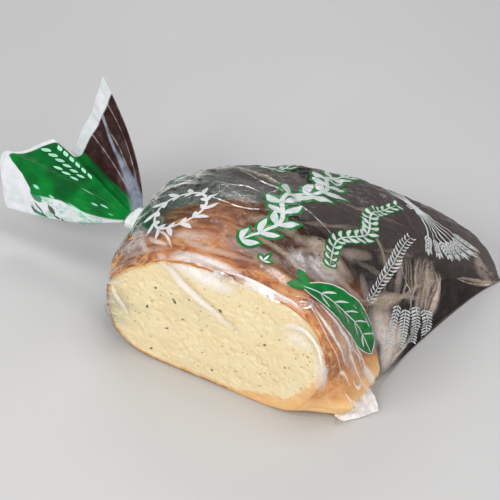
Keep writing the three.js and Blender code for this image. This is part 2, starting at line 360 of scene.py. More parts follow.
def face_mesh(settings, loop):
    """Points and quads of the torn crumb, and each point's distance from its rim."""
    half = settings.face_steps
    span = np.arange(-half, half + 1)
    i, j = np.meshgrid(span, span, indexing="ij")
    index, ring, place = ring_index(i, j)
    share = ring / half
    at = place / np.maximum(8 * ring, 1) * len(loop) % len(loop)
    closed = np.concatenate([loop, loop[:1]])
    edge = np.stack([np.interp(at, np.arange(len(closed)), closed[:, k]) for k in range(2)], -1)
    flat = FACE_CENTRE + share[..., None] * (edge - FACE_CENTRE)
    points = np.zeros((index.max() + 1, 3))
    points[index.ravel()] = np.stack([flat[..., 0], 0 * share, flat[..., 1] + LOAF_LIFT], -1).reshape(-1, 3)
    rim_distance = np.zeros(len(points))
    rim_distance[index.ravel()] = ((1 - share) * np.linalg.norm(edge - FACE_CENTRE, axis=-1)).ravel()
    sunk = 0
    for size, depth, gate, seed in PORES:
        hole = smooth_step(gate, gate + 0.3, clouds(points, size, seed))
        sunk = sunk + settings.pore_depth / MM * depth * hole
    tear = 0.5 * clouds(points, 26, 14) + 0.22 * clouds(points, 3.4, 15)
    points[:, 1] += smooth_step(0.5, 5, rim_distance) * (sunk + 0.5 + 0.9 * tear) - 0.25
    quads = np.stack([index[:-1, :-1], index[1:, :-1], index[1:, 1:], index[:-1, 1:]], -1)
    return points, quads.reshape(-1, 4), rim_distance


def crust_grid(settings, columns):
    """The loaf's slices with the blisters and wrinkles of the crust."""
    grid = loaf_rows(columns, settings.depth_rows)
    out = grid_normals(grid, closed=True)
    middle = len(grid) // 2, columns // 2
    if out[middle] @ (grid[middle] - [0, 40, 50]) < 0:
        out = -out
    relief = 1.6 * clouds(grid, 34, 21) + 0.8 * clouds(grid, 13, 22) + 0.45 * ridges(grid, 6.5, 23)
    relief = relief + 0.3 * clouds(grid, 3.1, 24)
    relief *= smooth_step(0, 7, grid[..., 1]) * (0.25 + 0.75 * smooth_step(1.5, 12, grid[..., 2]))
    grid = grid + out * (relief * settings.crust_relief / MM)[..., None]
    grid[..., 2] = np.maximum(grid[..., 2], LOWEST_CRUST)
    return grid


def loaf_mesh(settings):
    """Points, faces and finishes of the loaf, and each point's distance from the face's rim."""
    half = settings.face_steps
    columns = 8 * half
    face_points, quads, rim_distance = face_mesh(settings, face_line(columns))
    grid = crust_grid(settings, columns)
    outer_ring = np.arange(columns) + 1 + 4 * half * (half - 1)
    points = np.concatenate([face_points, grid[1:].reshape(-1, 3), grid[-1].mean(0)[None]])
    slices = len(face_points) + np.arange((len(grid) - 1) * columns).reshape(-1, columns)
    ids = np.concatenate([outer_ring[None], slices])
    after = np.roll(ids, -1, axis=1)
    crust = np.stack([ids[:-1], ids[1:], after[1:], after[:-1]], -1).reshape(-1, 4)
    pole = len(points) - 1
    cap = [[a, pole, b] for a, b in zip(ids[-1], after[-1])]
    faces = quads.tolist() + crust.tolist() + cap
    finishes = [0] * len(quads) + [1] * (len(crust) + len(cap))
    distance = np.concatenate([rim_distance, np.zeros(len(points) - len(face_points))])
    return points, faces, finishes, distance


# The film of the bag

def neck_rib(x, extra=0.0):
    """A flattened ring round the gathered neck."""
    turns = (np.arange(12) - 2.5) * np.pi / 6
    c, s = np.cos(turns), np.sin(turns)
    y = NECK_CENTRE[1] - (NECK_HALF[0] + extra) * np.sign(c) * np.abs(c) ** NECK_ROUND
    z = NECK_CENTRE[2] + (NECK_HALF[1] + extra) * np.sign(s) * np.abs(s) ** NECK_ROUND
    return np.stack([np.full(12, float(x)), y, z], 1)


def smooth_film(rows, columns):
    """The net of the bag before it is crumpled, with its rib places and places round it."""
    ribs = np.concatenate([[neck_rib(x) for x in NECK_STATIONS], RIBS])
    u = np.concatenate([np.linspace(1, NECK_PLACE, 8)[:-1], np.linspace(NECK_PLACE, len(ribs) - 1, rows)])
    v = np.linspace(0, 12, columns, endpoint=False)
    net = spline(ribs, u)
    net = np.swapaxes(spline(np.swapaxes(net, 0, 1), v, closed=True), 0, 1)
    return u, v, net


def film_lengths(u, v, net):
    """Length along the bag from the loaf's middle, and length round it from the face's top edge."""
    around = np.linalg.norm(np.diff(net, axis=1), axis=2)
    b = np.concatenate([np.zeros((len(net), 1)), np.cumsum(around, 1)], 1)
    b = b - b[:, [int(np.argmin(abs(v - 4)))]]
    along = np.linalg.norm(np.diff(net, axis=0), axis=2)
    a = np.concatenate([np.zeros((1, net.shape[1])), np.cumsum(along, 0)])
    a = a - a[int(np.argmin(abs(u - LOAF_PLACE)))]
    return a, b


# Folds of the film, as places along and round it in millimetres. Then come the fold's width and
# height, the width of its painted white highlight along the crease and the width of its soft sheen.
FOLDS = [
    ([(-6, -6), (12, -6), (28, -6), (43, -5), (58, -4), (70, -3)], 2.6, 0.8, 2.4, 0),
    ([(-53, -1), (-37, -12), (-24, -26), (-13, -33), (9, -43), (30, -52)], 3.0, 0.9, 0, 7),
    ([(-106, -13), (-97, -22), (-88, -33), (-80, -48)], 2.8, 0.8, 0.9, 0),
    ([(-60, 70), (-51, 66), (-32, 61), (-17, 60), (0, 63), (9, 73)], 3.6, 2.0, 1.3, 0),
    ([(-58, 72), (-50, 86), (-33, 88), (-17, 88), (-3, 99)], 3.6, 1.8, 1.2, 0),
    ([(-84, 86), (-81, 103), (-72, 115), (-56, 123), (-38, 122), (-9, 106), (8, 97)], 3.6, 1.8, 1.2, 6),
    ([(-54, 121), (-26, 108), (0, 96), (26, 85), (52, 76), (66, 70)], 3.2, 1.6, 1.2, 0),
    ([(58, -24), (70, -19), (82, -14), (93, -15), (98, -22), (98, -40)], 3.2, 0.9, 0, 5),
    ([(75, 1), (91, -1), (114, -6), (143, -10)], 3.0, 1.4, 1.2, 5),
    ([(77, 26), (98, 32), (121, 37), (146, 31), (165, 18)], 3.2, 1.8, 0, 8),
    ([(84, 8), (95, 6), (122, 4), (152, 4), (172, -4)], 3.0, 2.2, 1.4, 4),
    ([(112, 136), (128, 118), (145, 97), (162, 75), (170, 62)], 4.4, 2.4, 0, 6),
    ([(124, 142), (134, 128), (151, 116), (167, 90), (174, 74)], 4.2, 2.6, 0, 8),
    ([(104, 112), (116, 103), (139, 93), (158, 70)], 4.0, 1.8, 0.8, 0),
    ([(108, 42), (116, 47), (123, 64), (131, 86), (133, 113), (140, 140)], 4.4, 2.2, 0, 5),
    ([(120, 205), (134, 190), (148, 172), (160, 160)], 3.0, 2.0, 0, 6),
    ([(146, 148), (155, 152), (157, 166), (160, 190)], 3.0, 1.8, 1.0, 6),
    ([(41, 31), (55, 48), (66, 44), (90, 43), (116, 47)], 4.6, 1.8, 0, 9),
    ([(60, 120), (80, 108), (104, 92), (122, 70)], 4.4, 1.8, 0, 4),
    ([(20, 200), (44, 180), (70, 168), (96, 150), (118, 140)], 4.6, 1.8, 0, 0),
    ([(70, 0), (76, 3), (82, 0)], 2.2, 0.9, 1.4, 0),
    ([(74, -4), (79, 1), (78, 8)], 2.2, 0.9, 1.2, 0),
    ([(66, 2), (72, 6), (80, 6), (88, 4)], 2.4, 0.8, 1.2, 0),
]

# Soft ovals of the film, as place along and round, reach along and round, and slant: where it lies
# smooth by the neck, the two places by the seam where the empty film's painted shade is lighter, the
# painted shade at the back of the loaf and the green pane behind the wreath.
SMOOTH_OVAL = (-62, 48, 34, 34, 0)
SEAM_FOOT_OVAL = (150, -22, 60, 34, 0)
SEAM_OVAL = (170, 36, 44, 26, 0)
BACK_SHADE_OVAL = (-24, 122, 62, 30, 14)
PANE_OVAL = (-78, 54, 20, 20, 0)
PANE_COVER = 0.9

# Ovals of painted milky reflection on the film, in the same way, and the strength of each.
MILKY_REFLECTIONS = [(66, 36, 30, 12, 10, 0.3), (-70, 62, 22, 20, 0, 0.1), (130, 14, 26, 12, 0, 0.18),
          (-26, 74, 26, 7, 0, 0.16), (14, 24, 34, 7, -5, 0.22), (152, 40, 30, 14, 0, 0.3),
          (-34, 22, 22, 6, 8, 0.26), (-90, 20, 16, 18, 0, 0.24), (44, 12, 26, 4, -6, 0.2)]

# Green lines of the print by the neck: a line along and round the film, and half its width.
GREEN_LINES = [
    ([(-99, 51), (-90, 42), (-78, 35)], 9),
    ([(-94, 44), (-108, 28), (-120, 14), (-124, 2), (-122, -6)], 5),
    ([(-107, 78), (-104, 92), (-101, 102)], 5),
    ([(-128, 100), (-112, 104), (-101, 102)], 4),
    ([(-150, 40), (-140, 58), (-136, 76)], 6),
    ([(-138, 120), (-124, 128), (-106, 136)], 5),
]

# White sheens on the film: a line along and round it, then width and strength.
WHITE_SHEENS = [
    ([(-42, 3), (-22, -6), (-4, -11), (12, -14), (24, -12)], 20, 1.0),
    ([(-34, 4), (-12, 2), (8, 0), (24, -2)], 9, 0.8),
    ([(-55, 2), (-39, -9), (-26, -21), (-10, -32), (9, -43), (22, -50)], 9, 0.85),
    ([(60, -24), (78, -14), (89, -13), (98, -19), (99, -36), (97, -50)], 7, 0.9),
    ([(64, -32), (80, -24), (92, -27)], 16, 0.6),
    ([(93, -26), (96, -42), (91, -60)], 13, 0.5),
    ([(0, -5), (19, -3), (41, -3), (57, -3), (67, -3), (80, -6)], 4, 1.0),
    ([(-106, -13), (-97, -22), (-88, -33), (-80, -48)], 5, 0.7),
    ([(-93, 54), (-103, 34), (-112, 16), (-116, 0), (-116, -14), (-110, -30)], 3, 0.9),
    ([(-98, 62), (-96, 76), (-86, 86), (-70, 88)], 4, 0.9),
    ([(-80, 24), (-66, 16), (-50, 10)], 5, 0.6),
    ([(-72, 28), (-58, 20), (-46, 8)], 3, 0.7),
    ([(-86, 22), (-76, 12), (-66, 6)], 6, 0.4),
    ([(74, 6), (93, -2), (114, -6), (137, -11)], 2.6, 0.8),
    ([(80, 9), (105, 4), (133, 2), (161, -8)], 3, 0.8),
    ([(78, 2), (98, -8), (120, -15), (140, -24)], 2, 0.6),
    ([(88, 12), (112, 9), (140, 6), (165, -2)], 1.8, 0.7),
    ([(112, 2), (136, 0), (158, -8), (176, -22)], 2.6, 0.8),
    ([(124, 12), (148, 8), (170, 0), (190, -12)], 3, 0.8),
    ([(84, 6), (116, 0), (150, -6), (180, -18)], 20, 0.26),
    ([(160, 4), (174, -4), (188, -14)], 12, 0.6),
    ([(132, 54), (150, 44), (168, 36), (186, 26), (200, 10)], 20, 0.7),
    ([(176, 60), (188, 48), (199, 22)], 6, 0.7),
    ([(122, -22), (131, -17), (141, -21)], 3.4, 0.8),
    ([(146, -14), (154, -18), (163, -13)], 3, 0.8),
    ([(126, -29), (136, -31), (148, -27)], 3, 0.7),
]

# Tan sheens, the last four of them wide facets beside the loaf, in the same way.
TAN_SHEENS = [
    ([(120, 56), (146, 52), (176, 40), (198, 12)], 34, 1.0),
    ([(38, 48), (56, 56), (72, 52), (94, 52)], 20, 0.6),
    ([(-6, 50), (20, 56), (44, 50)], 14, 0.4),
    ([(-60, 26), (-30, 14), (0, 12), (30, 14)], 7, 0.5),
    ([(-96, 6), (-70, 8), (-44, 6)], 8, 0.5),
    ([(10, 36), (40, 32), (62, 24)], 6, 0.4),
    ([(66, 60), (77, 73), (88, 90)], 13, 0.34),
    ([(92, 67), (104, 59), (118, 49)], 9, 0.3),
    ([(116, 55), (126, 68), (131, 84)], 22, 0.6),
    ([(92, 92), (100, 104), (108, 118)], 18, 0.22),
]

# Painted tan reflections on the facets of the slack film: a line, how far its facets spread, how many and
# their strength.
FACETS = [
    ([(115, 142), (124, 130), (140, 110), (158, 84)], 17, 6, 0.7),
    ([(130, 140), (146, 120), (168, 88)], 8, 3, 1.0),
    ([(102, 126), (122, 104), (138, 80)], 20, 6, 0.5),
    ([(110, 44), (123, 64), (131, 86), (146, 98)], 16, 6, 0.65),
    ([(82, 70), (98, 80), (118, 92)], 22, 6, 0.14),
    ([(150, 150), (158, 168), (164, 196)], 12, 4, 0.5),
    ([(88, 100), (96, 116), (108, 132)], 12, 4, 0.16),
    ([(30, 70), (50, 84), (66, 108)], 16, 5, 0.1),
    ([(20, 120), (50, 134), (84, 150)], 20, 5, 0.12),
]


def line_distance(a, b, line):
    """Distance in the flat film from each of its points to a line of points."""
    best = np.full(a.shape, 1e9)
    share = np.zeros(a.shape)
    line = np.asarray(line, float)
    for k in range(len(line) - 1):
        p, q = line[k], line[k + 1]
        d = q - p
        t = np.clip(((a - p[0]) * d[0] + (b - p[1]) * d[1]) / (d @ d), 0, 1)
        far = np.hypot(a - p[0] - t * d[0], b - p[1] - t * d[1])
        share = np.where(far < best, (k + t) / (len(line) - 1), share)
        best = np.minimum(best, far)
    return best, share


class Film:
    """The crumpled film as a grid, and its surface at any place along and round it."""

    def __init__(self, rows, columns, crumple, gap):
        self.u, self.v, net = smooth_film(rows, columns)
        self.a, self.b = film_lengths(self.u, self.v, net)
        points = self.pleated(net)
        tree = loaf_tree()
        points, self.clear = self.pushed(points, tree, gap)
        points, self.clear = self.pushed(self.drawn_in(points, tree, gap), tree, gap)
        points = points + self.crumples(points, crumple)
        points, self.clear = self.pushed(points, tree, gap)
        points[..., 2] = np.maximum(points[..., 2], LOWEST_FILM)
        self.points = points
        self.normals = self.outward(points)
        self.flat = np.stack([self.a, self.b], -1)
        self.tree = None

    def outward(self, points):
        """Normals that point out of the bag."""
        normals = grid_normals(points, closed=True)
        middle = np.argmin(abs(self.u - LOAF_PLACE))
        top = np.argmin(abs(self.v - 6))
        return normals if normals[middle, top, 2] > 0 else -normals

    def pleated(self, net):
        """Pleats run out from the neck and fade as the film opens over the loaf."""
        along = (self.u - NECK_PLACE)[:, None]
        around = self.v[None]
        fade = np.clip(1 - along / 3.6, 0, 1) * np.clip(along * 1.4, 0, 1)
        broad = 2.2 * np.sin(around * np.pi * 3 + np.sin(around * 2.1))
        fine = 1.5 * np.sin(around * np.pi * 7.3 + 1.7 * np.sin(around * 1.3 + along)) / (1 + along)
        depth = fade * (broad + fine)
        offset = net[..., 1:] - NECK_CENTRE[1:]
        reach = np.maximum(np.linalg.norm(offset, axis=-1), 1)
        scale = 1 + np.clip(depth / reach, -0.12, 0.12)
        points = net.copy()
        points[..., 1:] = NECK_CENTRE[1:] + offset * scale[..., None]
        return points

    def crumples(self, points, crumple):
        """Steps that crumple the film: folds where it is slack, and little on the loaf's face."""
        normals = self.outward(points)
        a, b = self.a, self.b
        loose = smooth_step(3, 26, self.clear)
        face = smooth_step(14, -4, b) * smooth_step(112, 96, np.abs(a))
        neck = smooth_step(6.4, 3.6, self.u)[:, None]
        open_film = smooth_step(NECK_PLACE + 0.15, NECK_PLACE + 1, self.u)[:, None]
        spread = np.stack([a, b, 0 * a], -1)
        slant = np.stack([0.77 * a + 0.64 * b, 0.25 * (0.64 * a - 0.77 * b), 0 * a], -1)
        folds = 1.1 * ridges(slant, 24, 31) + 0.6 * ridges(slant + 40, 11, 32)
        folds *= 1 - 0.75 * smooth_step(150, 200, b)
        drape = 0.9 * ridges(spread * [0.5, 1, 1], 24, 33) + 0.35 * ridges(spread * [0.6, 1, 1], 11, 34)
        fine = 0.16 * ridges(spread, 6.5, 35)
        fan = 0.45 * ridges(spread * [0.18, 1, 1], 9, 36)
        height = loose * folds + (1 - loose) * (1 - face) * drape * 0.7 + fine * (1 + loose)
        height = height * (1 - 0.8 * face) + neck * fan
        height = height * (1 - 0.75 * self.patch(SMOOTH_OVAL))
        height = height * (1 - 0.45 * smooth_step(9, 6, self.u)[:, None])
        height = height + face * (0.22 * ridges(spread * [1, 0.7, 1], 34, 37) + 0.1)
        for line, width, rise, _, _ in FOLDS:
            far, share = line_distance(a, b, even_line(line, 24))
            fade = np.sin(np.pi * np.clip(share, 0.03, 0.97)) ** 0.5
            height = height + rise * fade * np.exp(-(far / width) ** 1.25)
        low = 0.15 + 0.85 * smooth_step(0.5, 9, points[..., 2])
        ribs = len(NECK_STATIONS) + len(RIBS)
        end = 0.25 + 0.75 * smooth_step(ribs - 1, ribs - 2.4, self.u)[:, None]
        return normals * (crumple * height * low * open_film * end)[..., None]

    def patch(self, spot):
        """One inside a soft oval of the film and nought outside: place, reaches and slant."""
        a, b, long, wide, slant = spot
        along, across = along_and_across(self.a - a, self.b - b, slant)
        return smooth_step(1.1, 0.35, np.hypot(along / long, across / wide))

    def drawn_in(self, points, tree, gap):
        """Draws the film close round the loaf low on the neck's side, where it is pulled tight."""
        x, y, z = points[..., 0], points[..., 1], points[..., 2]
        share = smooth_step(-58, -82, x) * smooth_step(84, 34, y) * smooth_step(62, 38, z)
        share = share * smooth_step(5, 6, self.u)[:, None]
        points = points.copy()
        for i, j in np.argwhere(share > 0.01):
            near, normal, _, distance = tree.find_nearest(Vector(points[i, j]))
            tight = np.array(near + normal * gap)
            if distance > gap:
                points[i, j] += share[i, j] * (tight - points[i, j])
        return points

    def pushed(self, points, tree, gap):
        """Moves film out of the loaf to just outside it, and measures how far off each point was."""
        points = points.copy()
        clear = np.zeros(points.shape[:2])
        for i in range(points.shape[0]):
            for j in range(points.shape[1]):
                spot = Vector(points[i, j])
                near, normal, _, distance = tree.find_nearest(spot)
                side = (spot - near).dot(normal)
                if side < 0:
                    distance = -distance
                if distance < gap:
                    points[i, j] = near + normal * gap
                clear[i, j] = distance
        return points, clear

    def places(self, flat):
        """Grid places, as rows and columns with fractions, of places along and round the film."""
        if self.tree is None:
            columns = np.nonzero((self.v > 0.4) & (self.v < 11.2))[0]
            self.tree = KDTree(len(self.u) * len(columns))
            for i in range(len(self.u)):
                for j in columns:
                    self.tree.insert((self.a[i, j], self.b[i, j], 0), int(i * len(self.v) + j))
            self.tree.balance()
        near = [self.tree.find((p[0], p[1], 0))[1] for p in flat]
        row, column = np.divmod(np.array(near), len(self.v))
        row, column = row.astype(float), column.astype(float)
        for _ in range(3):
            here = self.read(self.flat, row, column)
            down = self.read(self.flat, row + 0.5, column) - here
            right = self.read(self.flat, row, column + 0.5) - here
            miss = flat - here
            area = down[:, 0] * right[:, 1] - down[:, 1] * right[:, 0]
            area = np.where(np.abs(area) < 1e-9, 1e-9, area)
            ahead = (miss[:, 0] * right[:, 1] - miss[:, 1] * right[:, 0]) / area
            aside = (miss[:, 1] * down[:, 0] - miss[:, 0] * down[:, 1]) / area
            row = row + 0.5 * np.clip(ahead, -2, 2)
            column = column + 0.5 * np.clip(aside, -2, 2)
            row = np.clip(row, 0, len(self.u) - 1.001)
            column = np.clip(column, 1, len(self.v) - 2.001)
        return row, column

    def read(self, grid, row, column):
        """Values of a grid between its points."""
        row = np.clip(row, 0, len(self.u) - 1.001)
        column = np.clip(column, 0, len(self.v) - 1.001)
        i, j = np.floor(row).astype(int), np.floor(column).astype(int)
        s, t = (row - i)[:, None], (column - j)[:, None]
        top = grid[i, j] * (1 - t) + grid[i, j + 1] * t
        low = grid[i + 1, j] * (1 - t) + grid[i + 1, j + 1] * t
        return top * (1 - s) + low * s

    def trail(self, start, end, v, drift):
        """Places along and round the film on a line that runs out from the neck."""
        share = np.linspace(0, 1, 7)
        row = np.interp(start + (end - start) * share, self.u, np.arange(len(self.u)))
        wave = 0.05 * np.sin(8 * share + 9 * v)
        column = np.interp(v + drift * share + wave, self.v, np.arange(len(self.v)))
        return self.read(self.flat, row, column)

    def at(self, flat, lift):
        """Points of the film, raised off it by lift."""
        row, column = self.places(np.asarray(flat, float))
        normal = unit(self.read(self.normals, row, column))
        return self.read(self.points, row, column) + normal * lift


@functools.lru_cache(maxsize=None)
def film_of(crumple, gap):
    """The film, made once for all the pieces that lie on it."""
    rows, columns = FILM_STEPS
    return Film(rows, columns, crumple, gap)


def the_film():
    """The film with the crumple and the gap that are set."""
    settings = bpy.context.scene.bread_bag_film
    return film_of(settings.crumple, settings.gap / MM)


# Strips of print and folds that lie on the film

def leaf_profile(t):
    """Half-width share of a leaf or grain along its length."""
    return np.sin(np.pi * np.clip(t, 0, 1)) ** 0.75


def stroke_profile(t):
    """Half-width share of a drawn line, round at both ends."""
    return np.clip(np.minimum(t, 1 - t) * 14, 0, 1) ** 0.5 * (0.75 + 0.25 * np.sin(np.pi * t))


def crease_profile(t):
    """Half-width share of a crease, thin at both ends."""
    return np.clip(np.sin(np.pi * t), 0, 1) ** 0.6


class Strips:
    """Gathers flat strips in the film's own lengths, and lays them on the film as one mesh."""

    def __init__(self):
        self.flat = []
        self.soft = []
        self.faces = []
        self.count = 0

    def add(self, line, width, profile, step=1.4, grow=0.0):
        """One strip along a smooth line, grown all round where it lies under another."""
        middle = even_line(line, max(5, int(rough_length(line) / step)))
        heading, side = headings_and_sides(middle)
        if grow:
            middle[0] -= heading[0] * grow
            middle[-1] += heading[-1] * grow
        half = width / 2 * profile(np.linspace(0, 1, len(middle))) + grow
        if grow:
            half[[0, -1]] *= 0.5
        half = np.maximum(half, 0.04)
        across = max(2, int(math.ceil((width + 2 * grow) / 2.0)) + 1)
        self.lay(middle, side * half[:, None], across, np.ones(len(middle)))

    def sheen(self, line, width, strength):
        """A strip whose cover fades out to its edges and ends."""
        middle = even_line(line, max(9, int(rough_length(line) / 1.3)))
        side = headings_and_sides(middle)[1]
        fade = crease_profile(np.linspace(0, 1, len(middle)))
        self.lay(middle, side * (width / 2 * (0.4 + 0.6 * fade))[:, None], 9, strength * fade)

    def lay(self, middle, side, across, strength):
        """Adds one strip of points across a line, faded out to its sides in soft."""
        for share in np.linspace(-1, 1, across):
            self.flat.append(middle + side * share)
            self.soft.append(strength * (1 - share * share))
        quads = grid_faces(across, len(middle)) + self.count
        self.faces.append(quads)
        self.count += across * len(middle)

    def leaf(self, base, heading, length, width, bend=0.0, grow=0.0):
        """One leaf or grain from its base, in the direction of an angle in degrees."""
        forward, side = forward_and_side(heading)
        middle = base + forward * length / 2 + side * bend
        self.add([base, middle, base + forward * length], width, leaf_profile, 1.1, grow)

    def piece(self, name, film, lift, material):
        """Lays the strips on the film at a height, as one piece."""
        points = film.at(np.concatenate(self.flat), lift)
        piece = piece_of(name, points, np.concatenate(self.faces), [material])
        store(piece, "soft", np.concatenate(self.soft))
        return piece


# Garlands of the print: a line, length and width of a leaf, spacing, stem, and share of the outline.
GARLANDS = [
    ([(4, 28), (20, 58), (4, 92), (20, 126), (6, 158), (14, 194)], 23, 7.8, 13.5, 3.8, 1.3),
    ([(-42, 138), (-34, 160), (-40, 186), (-32, 212)], 14, 4.6, 9.5, 2.0, 1),
    ([(72, 44), (62, 74), (72, 104), (60, 134), (64, 168)], 10.5, 3.4, 6.6, 1.4, 0.6),
    ([(116, 52), (110, 76), (104, 100), (96, 124), (93, 142)], 9, 1.9, 4.6, 0.8, 0),
]
LEAF_LEAN = 42

# The wreath's place, radius and leaves. The sheaf's foot, heading, height, stalks and spread. The
# ears' place, heading, length, width and number.
WREATH = ((-62, 48), 20.5, 12)
SHEAF = ((44, 196), -16, 92, 7, 24)
EARS = ((165, 68), -43, 56, 44, 4)

# The large leaf of the print: its middle line, its width, the width of its pale edge, how many
# pairs of veins it has, and their headings and length.
BIG_LEAF = [(66, 15), (84, 21), (106, 25), (130, 25), (160, 16)]
BIG_LEAF_WIDTH = 33
BIG_LEAF_EDGE = 1.1
BIG_LEAF_VEINS = 5
VEIN_HEADINGS = (46, -38)
VEIN_LENGTH = 14

# Two leaves grow back from its stalk, and beside it is a small sprig: heading and length of each leaf.
LEAF_STALK = np.array([70.0, 17.0])
STALK_HEADINGS = (150, 205)
SPRIG_PLACE = np.array([30.0, 17.0])
SPRIG_LEAVES = ((20, 9), (80, 11), (140, 9))


def garland(strips, line, length, width, spacing, stem, grow=0.0):
    """A leafy stem: a stroke along a line, and pairs of leaves that grow from it."""
    middle = even_line(line, max(4, int(rough_length(line) / spacing)))
    heading = np.degrees(np.arctan2(*np.gradient(middle, axis=0)[:, ::-1].T))
    strips.add(line, stem, stroke_profile, grow=grow)
    for k in range(len(middle)):
        size = 1 - 0.35 * abs(2 * k / (len(middle) - 1) - 1)
        for side in (-1, 1):
            lean = heading[k] + side * LEAF_LEAN
            strips.leaf(middle[k], lean, length * size, width * size, 1.2 * side, grow)


def wreath(white, centre, radius, count):
    """A round wreath of leaves on a thin ring."""
    turns = np.linspace(0, 2 * np.pi, 41)
    ring = [(centre[0] + radius * math.cos(t), centre[1] + radius * math.sin(t)) for t in turns]
    white.add(ring, 2.2, lambda t: np.ones_like(t), 1.2)
    for k in range(count):
        turn = 2 * math.pi * k / count
        for side, lean in ((1, 48), (-1, 132)):
            start = np.array(centre) + radius * np.array([math.cos(turn), math.sin(turn)])
            length = 13 if side > 0 else 7.5
            white.leaf(start, math.degrees(turn) + lean, length, 4.0, 0.8 * side)


def sheaf(white, foot, heading, height, stalks, spread):
    """A tied sheaf of ears of grain, drawn in thin lines."""
    forward, side = forward_and_side(heading)
    tie = np.asarray(foot, float) + forward * height * 0.3
    for k in range(stalks):
        share = 2 * k / (stalks - 1) - 1
        low = tie - forward * height * 0.3 + side * share * spread * 0.35
        high = tie + forward * height * (0.62 - 0.12 * share * share) + side * share * spread
        middle = (tie + high) / 2 - side * share * spread * 0.14
        white.add([low, tie + side * share * 2.2, middle, high], 1.15, stroke_profile)
        lean = math.degrees(math.atan2(*(high - middle)[::-1]))
        for grain in range(5):
            start = high - (high - middle) * grain * 0.13
            for way in (-1, 1):
                white.leaf(start, lean + way * 28, 7.2, 1.6, 0.4 * way)
        white.leaf(high, lean, 8.5, 2.2)
    for row in range(3):
        band = tie + forward * (row * 2.2 - 2.2)
        white.add([band - side * 6, band + forward * 0.8, band + side * 6], 1.3, stroke_profile)


def ears(white, centre, heading, length, width, count):
    """Plump ears of grain laid side by side."""
    side = forward_and_side(heading)[1]
    for ear in range(count):
        share = 2 * (ear + 0.5) / count - 1
        lean = heading + 9 * share
        axis = forward_and_side(lean)[0]
        foot = np.asarray(centre, float) + side * share * width / 2 - axis * length * (0.5 - 0.08 * (ear % 2))
        white.add([foot, foot + axis * length / 2, foot + axis * length * 0.98], 0.9, stroke_profile)
        for grain in range(int(length / 4.2)):
            start = foot + axis * (grain * 4.2 + 2)
            for way in (-1, 1):
                white.leaf(start, lean + way * 44, 6.6, 2.1, 0.5 * way)


# Finishes

def linear(red, green, blue):
    """A screen colour from 0 to 255 as the light values that shaders use."""
    values = []
    for level in (red, green, blue):
        share = level / 255
        values.append(share / 12.92 if share <= 0.04045 else ((share + 0.055) / 1.055) ** 2.4)
    return (*values, 1.0)


def opaque(colour):
    """A setting's colour with full cover."""
    return (*colour, 1.0)


NO_TINT = (1.0, 1.0, 1.0, 1.0)


